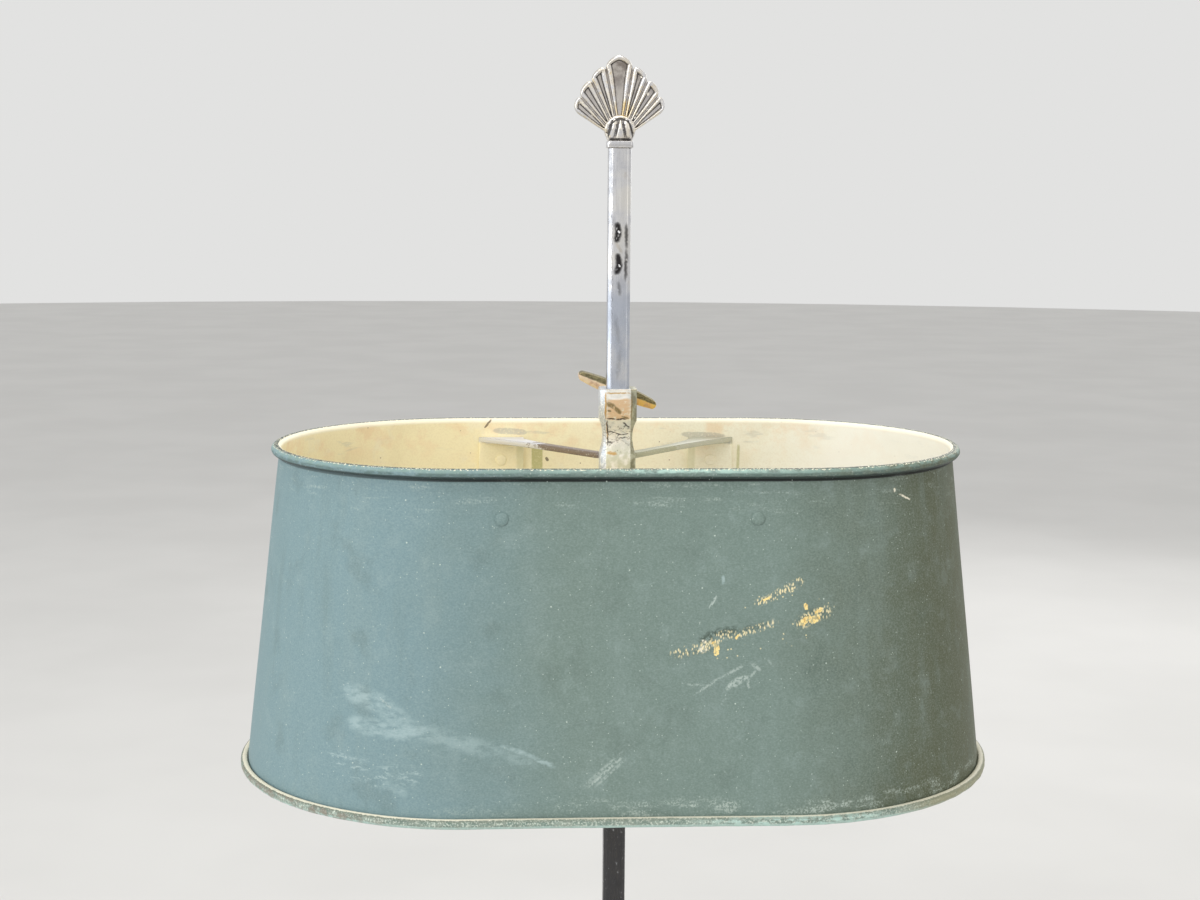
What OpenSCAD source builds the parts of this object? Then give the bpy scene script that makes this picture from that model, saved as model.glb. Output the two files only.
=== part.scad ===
// Two-light bouillotte lamp: an oval tole shade clamped to a square stem, over an oval dish base.
// Millimetres, +Z up, +Y to the back. The origin is on the table under the middle of the stem.

/* [Stem] */
// Width of the square stem across its flats
stem_w = 10; // [8:0.5:12]
// Wall of the stem tube
stem_wall = 1.5; // [1:0.1:2]
// Chamfer along the stem's four edges
stem_chamfer = 1.6; // [0.6:0.1:1.8]
// Length of the stem tube
stem_len = 468; // [430:1:560]
// Width of the cap under the finial
cap_w = 11.4; // [11:0.1:15]
// Height of the cap under the finial
cap_h = 2.8; // [2:0.1:6]
// Depth of the cap's tenon inside the stem
tenon_h = 8; // [5:0.5:15]

/* [Finial] */
// Thickness of the cast palmette
palmette_t = 4; // [3:0.1:6]
// Length of the palmette's middle lobe
lobe_len = 33; // [28:0.5:40]
// Width of the raised rim round each lobe
lobe_rim = 1.1; // [0.8:0.1:1.5]
// Depth of each lobe's sunk field
lobe_sink = 0.6; // [0.3:0.1:1]
// Radius of the bud that the lobes grow from
bud_r = 6.6; // [5:0.1:8]
// Height of the bud
bud_h = 10.5; // [9:0.5:14]
// Diameter of the finial's stud
stud_d = 4; // [3:0.1:5]

/* [Shade] */
// Length of the shade over its top bead
shade_l = 307; // [280:1:330]
// Width of the shade over its top bead
shade_w = 174; // [165:1:190]
// Height of the shade between the centres of its beads
shade_h = 140.5; // [120:0.5:160]
// How far the bottom bead stands out from the top one
shade_flare = 16.3; // [8:0.1:24]
// Thickness of the shade's sheet
sheet_t = 0.8; // [0.6:0.1:1.2]
// Diameter of the wire inside each rolled bead
wire_d = 2.6; // [2:0.1:4]
// Drop from the top of the stem to the shade's top bead
shade_drop = 132; // [110:1:150]

/* [Carrier] */
// Width of the clamp's upper block
block_w = 16.6; // [16:0.1:20]
// Height of the clamp's upper block
block_h = 14.2; // [13:0.1:20]
// Width of the clamp's waist
waist_w = 13; // [13:0.1:14.5]
// Width of the clamp's foot
foot_w = 16; // [15:0.1:20]
// Height of the clamp's foot
foot_h = 13.2; // [11:0.1:14]
// Height of the clamp over all
clamp_h = 43; // [42:0.5:45]
// How far the clamp stands above the top bead
clamp_up = 26; // [24:0.5:30]
// Thickness of the carrier's straps
strap_t = 2.4; // [1.6:0.1:3]
// Width of a strap at the clamp
strap_w = 6.5; // [5:0.5:8]
// How far the back straps fall on their way to the wall
strap_fall = 3; // [0:0.5:4]
// How much lower the level front straps leave the clamp than the back ones
front_drop = 6.1; // [5:0.1:7]
// Width of a strap's riveted tab
tab_w = 22; // [14:0.5:26]
// Length of a tab down the shade's wall
tab_h = 24; // [16:0.5:40]
// Distance of the tabs' centres from the stem along the shade
tab_x = 52; // [40:0.5:54]
// Diameter of a rivet's shank
rivet_d = 3; // [2.5:0.1:4]
// Diameter of a rivet's head
rivet_head_d = 5.6; // [5:0.1:8]
// Height of a rivet's head
rivet_head_h = 1; // [0.6:0.1:2]

/* [Clamp screw] */
// Drop from the clamp's top to the screw's axis
key_drop = 5.5; // [5.2:0.1:8]
// Diameter of the screw
key_screw_d = 5; // [4:0.1:5.5]
// Length of the key's wing
key_l = 38; // [24:0.5:45]
// Thickness of the wing at its round ends
key_t = 4; // [2.5:0.1:5]
// Thickness of the wing in its middle
key_mid_t = 6.2; // [5.5:0.1:8]
// Depth of the wing along the screw
key_depth = 10; // [6:0.5:14]
// How far the wing's middle stands off the screw's axis
key_rise = 2.7; // [0:0.1:3]
// Tilt of the wing when the clamp is tight, in degrees
key_tilt = 22; // [0:1:45]
// Length of the boss that the screw runs in
boss_l = 4.7; // [3:0.1:8]
// Travel of the pressure shoe when the screw is slackened
shoe_travel = 0.6; // [0.3:0.1:1]

/* [Light unit] */
// Drop from the shade's top bead to the hub's middle
hub_drop = 158; // [150:1:200]
// Radius of the hub
hub_r = 12; // [10:0.5:16]
// Height of the hub
hub_h = 28; // [20:1:36]
// Distance of each candle from the stem
arm_reach = 85; // [78:1:105]
// Diameter of the arm tube
arm_d = 7; // [6:0.1:9]
// Diameter of the bore through the arm tube
arm_bore = 4.4; // [3.6:0.1:4.8]
// How far each arm dips below the hub's middle
arm_drop = 14; // [8:1:24]
// Radius of the arm's bend beside the hub
arm_bend_r = 20; // [14:1:24]
// Radius of the arm's long sweep up to the candle
arm_sweep_r = 50; // [44:1:64]
// Radius of the knop where the two bends meet
arm_knop_r = 5.4; // [4.8:0.1:7]
// Radius of the drip pan
pan_r = 22; // [18:0.5:30]
// Depth of the drip pan
pan_h = 5; // [3:0.5:9]
// Height of the candle cup
cup_h = 16; // [12:0.5:24]
// Diameter of the candle sleeve
sleeve_d = 24; // [23:0.5:26]
// Wall of the candle sleeve
sleeve_wall = 1; // [0.6:0.1:1.2]
// Length of the candle sleeve
sleeve_len = 60; // [58:1:80]
// Diameter of the bulb's screw cap
bulb_cap_d = 14; // [13.8:0.1:14.2]
// Largest diameter of the bulb
bulb_d = 35; // [28:0.5:38]
// Length of the bulb's glass
bulb_len = 84; // [70:1:100]

/* [Pedestal] */
// Height of the turned pedestal
ped_h = 84; // [76:1:140]
// Radius of the pedestal's foot
ped_foot_r = 29; // [26:0.5:32]
// Radius of the pedestal's knop
ped_knop_r = 19; // [16:0.5:24]
// Radius of the pedestal's neck
ped_neck_r = 9.5; // [8:0.1:11]
// Radius of the pedestal's top
ped_top_r = 15; // [13:0.5:18]
// Width of the square socket that holds the stem
socket_w = 18; // [16:0.5:24]
// Height of the socket
socket_h = 16; // [13:0.5:24]

/* [Base] */
// Length of the oval base
base_l = 210; // [190:1:250]
// Width of the oval base
base_w = 140; // [136:1:160]
// Height of the dish floor above the table
dish_z = 22; // [21.5:0.5:28]
// Wall of the base casting
base_wall = 3; // [2.5:0.1:3.5]
// Height of the gallery round the dish
gallery_h = 8; // [5:0.5:16]
// Thickness of the felt pad
pad_t = 2; // [1:0.5:3]
// Thickness of the cover plate
cover_t = 1.5; // [1:0.1:2]
// Thickness of the iron weight
weight_t = 10; // [6:0.5:10.5]
// Diameter of the threaded tube up the pedestal
nipple_d = 9.8; // [9:0.1:10]

/* [Cord outlet] */
// Diameter of the bore that a cord goes through
cord_bore_d = 6.4; // [5:0.1:7]
// Diameter of the gland's threaded neck
gland_d = 9; // [8.6:0.1:10]
// Diameter of the gland's outer flange
gland_flange_d = 13; // [12:0.5:15]

/* [Switch] */
// Diameter of the rotary switch's body
switch_d = 20; // [16:0.5:22]
// Height of the rotary switch's body
switch_h = 12; // [8:0.5:12]
// Diameter of the switch's shaft
shaft_d = 4.8; // [4:0.1:5.4]
// Diameter of the switch's knob
knob_d = 14; // [12:0.5:16]
// Height of the switch's knob
knob_h = 10; // [7:0.5:16]

/* [Clearances] */
// Gap between the clamp and the stem on each side
slide_gap = 0.08; // [0.02:0.01:0.1]
// Radial gap of a turning shaft in its bore
run_gap = 0.05; // [0.02:0.01:0.1]
// Gap of fixed pieces that fit into one another
seat_gap = 0.05; // [0.02:0.01:0.1]
// Gap between pieces that pass without touching
clear_gap = 0.3; // [0.3:0.05:0.6]

/* [Hidden] */
$fn = 64;
// How far a cutter runs past the face it cuts
past = 1;
SILVER = "#b9b7b0";
BRASS = "#b08d4c";
STEEL = "#9aa0a6";
PAINT = "#4d6b66";
IRON = "#4a4a4c";
PLASTIC = "#26262a";
CREAM = "#efe6c8";

// Heights up the lamp
socket_floor = 6;
stem_bottom = dish_z + ped_h + socket_floor;
stem_top = stem_bottom + stem_len;
cap_top = stem_top + cap_h;
rim_z = stem_top - shade_drop;
hub_z = rim_z - hub_drop;

// Base: the oval is two half circles of radius base_r about centres base_half from the middle
base_r = base_w / 2;
base_half = (base_l - base_w) / 2;
foot_band = 5;
lip_band = 3;
lip_inset = 2;
scotia_r = (dish_z - lip_band - pad_t - foot_band) / 2;
scotia_z = pad_t + foot_band + scotia_r;
cavity_r = base_r - scotia_r - base_wall;
floor_under = dish_z - base_wall;
cover_r = cavity_r + 2.5;
cover_top = pad_t + cover_t;
gallery_out = base_r - lip_inset - 3;
gallery_t = 3;
post_r = 4;
post_x = base_half + 32;
post_y = 34;
screw_d = 3;
screw_head_d = 5.4;
screw_grip = 8;
channel_w = 26;
weight_r = cavity_r - 1.5;

// Stem fixing
nipple_bore = 7;
nipple_low = cover_top + 9;
washer_t = 1.5;
washer_r = 11;
nut_t = 4.5;
nut_r = 9;

// Cord outlet, at the back
gland_z = pad_t + 9.5;
gland_boss_r = 7.5;
gland_flange_t = 2.5;
gland_nut_t = 3;
gland_nut_r = 7;

// Electrical pieces in the base
block_size = [18, 18, 9];
block_y = cavity_r - 8 - block_size[1];
lead_r = 2;
switch_lead_r = 1.2;
switch_lead_x = 7;
lead_z = cover_top + lead_r + 0.1;
lead_bend_r = 6;

// Switch, at the front of the dish
switch_y = -(ped_foot_r + knob_d / 2 + 7);
bushing_r = shaft_d / 2 + 1.6;
ring_nut_t = 2.5;
bushing_top = dish_z + ring_nut_t + 0.5;
shaft_low = floor_under - switch_h / 2;

// Shade
bead_r = wire_d / 2 + seat_gap + sheet_t;
shade_r = shade_w / 2 - bead_r;
shade_half = (shade_l - shade_w) / 2;
wall_len = norm([shade_flare, shade_h]);
lean = atan(shade_flare / shade_h);
hem_opening = 55;

// Carrier
clamp_top = rim_z + clamp_up;
clamp_low = clamp_top - clamp_h;
bore_w = stem_w + 2 * slide_gap;
waist_z = rim_z + 4.7;
block_low = clamp_top - block_h;
foot_top = clamp_low + foot_h;
clamp_chamfer = 2.6;
// How far each cut corner stands out past the flat sides
clamp_corner = block_w / 2 * (sqrt(2) - 1) - clamp_chamfer / sqrt(2);
strap_top = foot_top - 0.3;
// Height of all four rivets, under the lower straps' bends
rivet_z = strap_top - front_drop - 8.3;
tab_corner_r = 3;

// Clamp screw
key_z = clamp_top - key_drop;
shoe_w = 7;
shoe_h = 8;
shoe_t = 1.3;
shoe_y = stem_w / 2 + seat_gap;
pocket_y = shoe_y + shoe_t + shoe_travel + 0.1;
boss_end = block_w / 2 + boss_l;
nose_d = 3;
nose_l = 0.6;
key_hub_r = 4.6;
key_hub_y = boss_end + shoe_travel + clear_gap;
key_bar_y = key_hub_y + 1;

// Light unit
arm_low = hub_z - arm_drop;
arm_turn = acos(1 - arm_drop / (arm_bend_r + arm_sweep_r));
arm_start = hub_r - 4;
arm_bend_x = hub_r + arm_knop_r + seat_gap;
arm_knop_x = arm_bend_x + arm_bend_r * sin(arm_turn);
arm_knop_z = hub_z - arm_bend_r * (1 - cos(arm_turn));
arm_low_x = arm_knop_x + arm_sweep_r * sin(arm_turn);
arm_rise = asin((arm_reach - arm_low_x) / arm_sweep_r);
arm_end_z = arm_low + arm_sweep_r * (1 - cos(arm_rise));
collar_low = arm_end_z - 3;
collar_h = 12;
collar_r = 7;
candle_z = collar_low + collar_h;
joint_depth = 5;
joint_d = 10;
pan_t = 1;
cup_z = candle_z + pan_t;
cup_floor = 2;
sleeve_z = cup_z + cup_floor;
socket_thread = 6;
holder_r = sleeve_d / 2 - sleeve_wall - clear_gap;
holder_h = sleeve_len - 7;
shell_r = bulb_cap_d / 2 + clear_gap;
shell_t = 1;
contact_z = sleeve_z + holder_h - 29;
bulb_z = contact_z + 28;
cap_low = contact_z + 4;
glass_t = 0.8;
arm_lead_r = 1.6;

// ---- Helpers ----

// Points along an arc about c, from angle a0 to a1
function arc(c, r, a0, a1, n = 8) =
    [for (i = [0:n]) let (a = a0 + (a1 - a0) * i / n) c + r * [cos(a), sin(a)]];

// Outline of a square with cut corners
function cut_square(w, c) = let (h = w / 2) [
    [h - c, h], [c - h, h], [-h, h - c], [-h, c - h],
    [c - h, -h], [h - c, -h], [h, c - h], [h, h - c]
];

// A point of the shade's section: u down the wall from the top bead, v outwards
function wall_point(u, v) = [
    shade_r + v * cos(lean) + u * sin(lean),
    rim_z + v * sin(lean) - u * cos(lean)
];

// How far down the wall the line at v reaches a given height
function wall_u(z, v) = (rim_z + v * sin(lean) - z) / cos(lean);

// Sweep a section (x from the end arcs' centres, y up) round an oval
module oval_sweep(half) {
    for (side = [-1, 1])
        translate([side * half, 0, 0]) rotate([0, 0, -90 * side]) rotate_extrude(angle = 180) children();
    translate([-half, 0, 0]) rotate([90, 0, 90]) linear_extrude(2 * half) {
        children();
        mirror([1, 0]) children();
    }
}

// A flat oval slab between two heights
module oval_slab(half, r, low, high) {
    oval_sweep(half) translate([0, low]) square([r, high - low]);
}

// A ring or tube standing on z = low
module tube(r_out, r_in, low, h) {
    translate([0, 0, low]) difference() {
        cylinder(r = r_out, h = h);
        translate([0, 0, -past]) cylinder(r = r_in, h = h + 2 * past);
    }
}

// A square column with cut corners
module column(w, c, low, h) {
    translate([0, 0, low]) linear_extrude(h) polygon(cut_square(w, c));
}

// A rod along +Y
module rod_y(r, y0, y1) {
    translate([0, y0, 0]) rotate([-90, 0, 0]) cylinder(r = r, h = y1 - y0);
}

// The places of the four cover posts
module at_posts() {
    for (x = [-post_x, post_x], y = [-post_y, post_y]) translate([x, y, 0]) children();
}

// A candle's place: side is -1 on the left and 1 on the right
module at_candle(side) {
    translate([side * arm_reach, 0, 0]) children();
}

// ---- Base ----

module felt_pad() {
    color("#2f4a38") oval_slab(base_half, base_r - 1.5, 0, pad_t);
}

module base_cover_plate() {
    color(STEEL) difference() {
        oval_slab(base_half, cover_r - seat_gap, pad_t, cover_top);
        at_posts() {
            translate([0, 0, pad_t - past]) cylinder(r = screw_d / 2 + seat_gap, h = cover_t + 2 * past);
            translate([0, 0, pad_t - past]) cylinder(r = screw_head_d / 2 + seat_gap, h = past + cover_t / 2);
        }
    }
}

module cover_screws() {
    color(STEEL) at_posts() {
        translate([0, 0, pad_t]) cylinder(r = screw_head_d / 2, h = cover_t / 2);
        translate([0, 0, pad_t]) cylinder(r = screw_d / 2, h = cover_t + screw_grip);
    }
}

module base_section() {
    difference() {
        polygon([
            [0, pad_t], [base_r, pad_t], [base_r, scotia_z], [base_r - lip_inset, scotia_z],
            [base_r - lip_inset, dish_z], [0, dish_z]
        ]);
        translate([base_r, scotia_z]) circle(scotia_r);
        translate([-past, pad_t - past]) square([cavity_r + past, floor_under - pad_t + past]);
        translate([-past, pad_t - past]) square([cover_r + past, cover_t + past]);
    }
}

module base_shell() {
    color(SILVER) difference() {
        union() {
            oval_sweep(base_half) base_section();
            at_posts() translate([0, 0, cover_top]) cylinder(r = post_r, h = dish_z - cover_top - base_wall / 2);
            translate([0, 0, gland_z]) rod_y(gland_boss_r, cavity_r - past / 2, base_r);
        }
        at_posts() translate([0, 0, cover_top - past]) cylinder(r = screw_d / 2 + seat_gap, h = screw_grip + 2 * past);
        translate([0, 0, floor_under - past]) cylinder(r = nipple_d / 2 + seat_gap, h = base_wall + 2 * past);
        translate([0, switch_y, floor_under - past]) cylinder(r = bushing_r + seat_gap, h = base_wall + 2 * past);
        translate([0, 0, gland_z]) rod_y(gland_d / 2 + seat_gap, cavity_r - 2 * past, base_r + past);
    }
}

module dish_gallery() {
    bead = gallery_t / 2 + 0.6;
    color(SILVER) oval_sweep(base_half) union() {
        translate([gallery_out - gallery_t, dish_z]) square([gallery_t, gallery_h - bead]);
        translate([gallery_out - gallery_t - 1, dish_z]) square([gallery_t + 2, 1.2]);
        translate([gallery_out - gallery_t / 2, dish_z + gallery_h - bead]) circle(bead);
    }
}

module base_weight() {
    color(IRON) difference() {
        oval_slab(base_half, weight_r, cover_top, cover_top + weight_t);
        translate([-channel_w / 2, switch_y - switch_d / 2 - 2, cover_top - past])
            cube([channel_w, weight_r - switch_y + switch_d, weight_t + 2 * past]);
        at_posts() translate([0, 0, cover_top - past]) cylinder(r = post_r + 1, h = weight_t + 2 * past);
    }
}

module cord_gland() {
    color(BRASS) translate([0, 0, gland_z]) difference() {
        union() {
            rod_y(gland_d / 2, cavity_r - gland_nut_t - 1, base_r + 0.5);
            rod_y(gland_flange_d / 2, base_r, base_r + gland_flange_t);
        }
        rod_y(cord_bore_d / 2, cavity_r - gland_nut_t - 2, base_r + gland_flange_t + past);
    }
}

module gland_nut() {
    nut_end = cavity_r - past / 2;
    color(BRASS) translate([0, nut_end - gland_nut_t, gland_z]) rotate([-90, 0, 0]) difference() {
        cylinder(r = gland_nut_r, h = gland_nut_t, $fn = 6);
        translate([0, 0, -past]) cylinder(r = gland_d / 2 + seat_gap, h = gland_nut_t + 2 * past);
    }
}

module terminal_block() {
    screw_r = 1.6;
    color(CREAM) difference() {
        translate([-block_size[0] / 2, block_y, cover_top]) cube(block_size);
        for (x = [-5, 0, 5])
            translate([x, block_y + block_size[1] / 2, cover_top + block_size[2] - 4]) cylinder(r = screw_r, h = 5);
    }
}

module switch_leads() {
    lead_start = switch_y + switch_d / 2 - 2.5;
    color(PLASTIC) translate([switch_lead_x, 0, lead_z]) rod_y(switch_lead_r, lead_start, block_y);
}

// ---- Switch ----

module switch_body() {
    color(PLASTIC) translate([0, switch_y, 0]) difference() {
        union() {
            translate([0, 0, floor_under - switch_h]) cylinder(r = switch_d / 2, h = switch_h);
            translate([0, 0, floor_under - 0.5]) cylinder(r = bushing_r, h = bushing_top - floor_under + 0.5);
            // Tail that the leads are soldered to
            translate([switch_lead_x - 2, switch_d / 2 - 6, lead_z - 2]) cube([4, 3, floor_under - lead_z]);
        }
        translate([0, 0, shaft_low - clear_gap]) cylinder(r = shaft_d / 2 + run_gap, h = dish_z);
    }
}

module switch_ring_nut() {
    color(BRASS) translate([0, switch_y, dish_z]) difference() {
        cylinder(r = bushing_r + 2.6, h = ring_nut_t, $fn = 12);
        translate([0, 0, -past]) cylinder(r = bushing_r + seat_gap, h = ring_nut_t + 2 * past);
    }
}

module switch_knob() {
    flutes = 16;
    knob_low = bushing_top + clear_gap;
    color(BRASS) translate([0, switch_y, 0]) union() {
        translate([0, 0, shaft_low]) cylinder(r = shaft_d / 2, h = knob_low - shaft_low + 1);
        difference() {
            translate([0, 0, knob_low]) rotate_extrude() polygon(concat(
                [[0, 0], [knob_d / 2, 0]],
                arc([knob_d / 2 - 2, knob_h - 2], 2, 0, 90, 6),
                [[0, knob_h]]
            ));
            for (i = [0:flutes - 1]) rotate(i * 360 / flutes)
                translate([knob_d / 2 + 0.3, 0, knob_low + 1.5]) cylinder(r = 0.8, h = knob_h, $fn = 16);
        }
    }
}

// ---- Pedestal and stem ----

module pedestal() {
    foot_edge = 3;
    foot_step = 2;
    cavetto_r = 12;
    collar_w = ped_foot_r - foot_step - cavetto_r + 1.5;
    collar_edge = 2;
    knop_curve = 10;
    knop_sweep = 70;
    knop_z = foot_edge + cavetto_r + knop_curve + collar_edge;
    cap_band = 4;
    cap_step = 3;
    cap_edge = 1.5;
    neck_low = knop_z + knop_curve;
    neck_high = ped_h - cap_band - 2 * cap_step;
    neck_half = (neck_high - neck_low) / 2;
    neck_curve = 60;
    neck_turn = asin(neck_half / neck_curve);
    bore = nipple_d / 2 + seat_gap;
    color(SILVER) translate([0, 0, dish_z]) rotate_extrude() polygon(concat(
        [[bore, 0], [ped_foot_r, 0], [ped_foot_r, foot_edge]],
        arc([ped_foot_r - foot_step, foot_edge + cavetto_r], cavetto_r, 270, 180, 8),
        [[collar_w, foot_edge + cavetto_r], [collar_w, foot_edge + cavetto_r + collar_edge]],
        arc([ped_knop_r - knop_curve, knop_z], knop_curve, -knop_sweep, knop_sweep, 12),
        arc([ped_neck_r + neck_curve, neck_low + neck_half], neck_curve, 180 + neck_turn, 180 - neck_turn, 10),
        [[ped_top_r, neck_high], [ped_top_r, neck_high + cap_step]],
        arc([ped_top_r, ped_h - cap_band], cap_step, 270, 180, 6),
        [[ped_top_r - cap_edge, ped_h - cap_band], [ped_top_r - cap_edge, ped_h], [bore, ped_h]]
    ));
}

module stem_socket() {
    low = dish_z + ped_h;
    color(SILVER) difference() {
        union() {
            column(socket_w, 2.5, low, socket_h);
            column(socket_w + 2, 3, low, 2.5);
        }
        translate([0, 0, low - past]) cylinder(r = nipple_d / 2 + seat_gap, h = socket_floor + 2 * past);
        column(stem_w + 2 * seat_gap, stem_chamfer / 2, stem_bottom, socket_h);
    }
}

module stem_nipple() {
    color(BRASS) tube(nipple_d / 2, nipple_bore / 2, nipple_low, stem_bottom - 0.5 - nipple_low);
}

module stem_washer() {
    color(STEEL) tube(washer_r, nipple_d / 2 + seat_gap, floor_under - washer_t, washer_t);
}

module stem_nut() {
    color(BRASS) translate([0, 0, floor_under - washer_t - nut_t]) difference() {
        cylinder(r = nut_r, h = nut_t, $fn = 6);
        translate([0, 0, -past]) cylinder(r = nipple_d / 2 + seat_gap, h = nut_t + 2 * past);
    }
}

module stem_tube() {
    hole_r = arm_bore / 2 + 0.3;
    color(SILVER) difference() {
        column(stem_w, stem_chamfer, stem_bottom, stem_len);
        translate([0, 0, stem_bottom - past]) linear_extrude(stem_len + 2 * past)
            square(stem_w - 2 * stem_wall, center = true);
        translate([-stem_w, 0, hub_z]) rotate([0, 90, 0]) cylinder(r = hole_r, h = 2 * stem_w);
    }
}

module stem_leads() {
    color(PLASTIC) union() {
        translate([0, 0, lead_z + lead_bend_r]) cylinder(r = lead_r, h = hub_z + 3 - lead_z - lead_bend_r);
        translate([0, lead_bend_r, lead_z + lead_bend_r]) rotate([0, 90, 0]) rotate([0, 0, -90])
            rotate_extrude(angle = 90) translate([lead_bend_r, 0]) circle(lead_r);
        translate([0, 0, lead_z]) rod_y(lead_r, lead_bend_r, block_y);
    }
}

module stem_cap() {
    tenon_w = stem_w - 2 * stem_wall - 2 * seat_gap;
    color(SILVER) difference() {
        union() {
            column(cap_w, 0.8, stem_top, cap_h);
            translate([-tenon_w / 2, -tenon_w / 2, stem_top - tenon_h]) cube([tenon_w, tenon_w, tenon_h + 1]);
        }
        translate([0, 0, stem_top - tenon_h - past])
            cylinder(r = stud_d / 2 + seat_gap, h = tenon_h + cap_h + 2 * past);
    }
}

// ---- Finial ----

// Angle, length as a share of the middle lobe, and tip radius of the lobes on one side
lobe_angle = [0, 22.5, 42, 60];
lobe_share = [1, 0.842, 0.734, 0.69];
lobe_tip = [6.1, 3.7, 3.4, 3.1];
lobe_root = 1.4;
fan_z = cap_top + 4.2;

// One lobe's outline, drawn in by inset
module lobe(i, inset) {
    reach = lobe_len * lobe_share[i] - lobe_tip[i];
    start = inset > 0 ? 7 : 0;
    root = lobe_root + (lobe_tip[i] - lobe_root) * start / reach - inset;
    tip = lobe_tip[i] - inset;
    polygon(concat([[-root, start], [root, start]], arc([0, reach], tip, 0, 180, 12)));
}

module fan(inset) {
    for (i = [0:3], side = i == 0 ? [1] : [-1, 1]) rotate(-side * lobe_angle[i]) lobe(i, inset);
}

// Stand an outline of the fan on edge, between two depths from the front
module fan_plate(front, depth) {
    translate([0, front + depth, fan_z]) rotate([90, 0, 0]) linear_extrude(depth) children();
}

module finial() {
    soft = 0.25;
    half_t = palmette_t / 2;
    color(SILVER) union() {
        difference() {
            fan_plate(-half_t, palmette_t) offset(r = soft) offset(delta = -soft) fan(0);
            fan_plate(-half_t - past, past + lobe_sink) fan(lobe_rim);
            fan_plate(half_t - lobe_sink, past + lobe_sink) fan(lobe_rim);
        }
        // Bud, seated on the cap
        translate([0, 0, cap_top]) rotate_extrude() polygon(concat(
            [[0, 0], [bud_r - 1.6, 0]],
            arc([bud_r - 6.3, 4.4], 6.3, -40, 0, 5),
            arc([bud_r - 7, 4.6], 7, 0, 58, 6),
            [[0, bud_h]]
        ));
        translate([0, 0, stem_top - tenon_h + 1]) cylinder(r = stud_d / 2, h = tenon_h + cap_h);
    }
}

// ---- Light unit ----

// One bend of the arm about c, from angle a0 to a1, stopped short inside the knots at its ends
module arm_bend(c, bend_r, a0, a1, r) {
    short = 0.4 / bend_r * 180 / PI;
    translate([c[0], 0, c[1]]) rotate([90, 0, 0]) rotate([0, 0, a0 + short])
        rotate_extrude(angle = a1 - a0 - 2 * short) translate([bend_r, 0]) circle(r);
}

// The arm's line from the hub to the candle on the right: bars of radius r, joined by round knots
module arm_line(r, knot_r, start) {
    translate([start, 0, hub_z]) rotate([0, 90, 0]) cylinder(r = r, h = arm_bend_x - 0.4 - start);
    for (p = [[arm_bend_x, hub_z], [arm_knop_x, arm_knop_z], [arm_reach, arm_end_z]])
        translate([p[0], 0, p[1]]) sphere(knot_r);
    arm_bend([arm_bend_x, hub_z - arm_bend_r], arm_bend_r, 90 - arm_turn, 90, r);
    arm_bend([arm_low_x, arm_low + arm_sweep_r], arm_sweep_r, 270 - arm_turn, 270 + arm_rise, r);
}

module arm(side) {
    wide = 5 * arm_bore / 8;
    color(SILVER) mirror([side < 0 ? 1 : 0, 0, 0]) difference() {
        union() {
            arm_line(arm_d / 2, arm_knop_r, arm_start);
            translate([arm_reach, 0, collar_low]) cylinder(r = collar_r, h = collar_h);
        }
        arm_line(arm_bore / 2, wide, arm_start - past);
        translate([arm_reach, 0, arm_end_z]) cylinder(r = wide - 0.2, h = collar_h);
        translate([arm_reach, 0, candle_z - joint_depth]) cylinder(r = joint_d / 2 + seat_gap, h = collar_h);
    }
}

module arm_lead(side) {
    knot = arm_lead_r + 0.3;
    color(PLASTIC) mirror([side < 0 ? 1 : 0, 0, 0]) union() {
        arm_line(arm_lead_r, knot, lead_r + 0.1);
        translate([arm_reach, 0, arm_end_z + 0.4])
            cylinder(r = arm_lead_r, h = sleeve_z + socket_thread + 5 - arm_end_z);
    }
}

module arm_hub() {
    flare = 2;
    color(SILVER) difference() {
        translate([0, 0, hub_z - hub_h / 2]) rotate_extrude() polygon(concat(
            [[0, 0], [hub_r - flare, 0]],
            arc([hub_r - flare, 2], 2, -90, 90, 6),
            [[hub_r - flare - 1, 5], [hub_r, 7], [hub_r, hub_h - 7], [hub_r - flare - 1, hub_h - 5]],
            arc([hub_r - flare, hub_h - 2], 2, -90, 90, 6),
            [[0, hub_h]]
        ));
        column(stem_w + 2 * seat_gap, stem_chamfer / 2, hub_z - hub_h, 2 * hub_h);
        translate([-2 * hub_r, 0, hub_z]) rotate([0, 90, 0]) cylinder(r = arm_bore / 2, h = 4 * hub_r);
        for (side = [-1, 1]) translate([side * (arm_start + hub_r / 2), 0, hub_z]) rotate([0, 90, 0])
            cylinder(r = arm_d / 2 + seat_gap, h = hub_r, center = true);
        translate([0, 0, hub_z]) rod_y(2 + seat_gap, stem_w / 2, hub_r + past);
    }
}

module hub_set_screw() {
    low = stem_w / 2 + seat_gap;
    color(BRASS) translate([0, 0, hub_z]) difference() {
        rod_y(2, low, hub_r + 0.8);
        translate([-0.4, hub_r - 0.2, -2.5]) cube([0.8, 2, 5]);
    }
}

module drip_pan(side) {
    color(SILVER) at_candle(side) translate([0, 0, candle_z]) rotate_extrude() polygon([
        [joint_d / 2 + seat_gap, 0], [12, 0], [pan_r - 2.5, pan_h - pan_t - 1], [pan_r, pan_h - pan_t],
        [pan_r, pan_h], [pan_r - 3, pan_h - 1], [12, pan_t], [joint_d / 2 + seat_gap, pan_t]
    ]);
}

module candle_cup(side) {
    inside = sleeve_d / 2 + seat_gap;
    lip = inside + 1.6;
    color(SILVER) at_candle(side) translate([0, 0, cup_z]) rotate_extrude() polygon(concat(
        [[joint_d / 2 + seat_gap, 0], [inside - 3, 0]],
        arc([inside - 4, cup_h * 0.45], cup_h * 0.42, -70, 40, 8),
        [[lip, cup_h - 2], [lip, cup_h], [inside, cup_h], [inside, cup_floor], [joint_d / 2 + seat_gap, cup_floor]]
    ));
}

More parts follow.
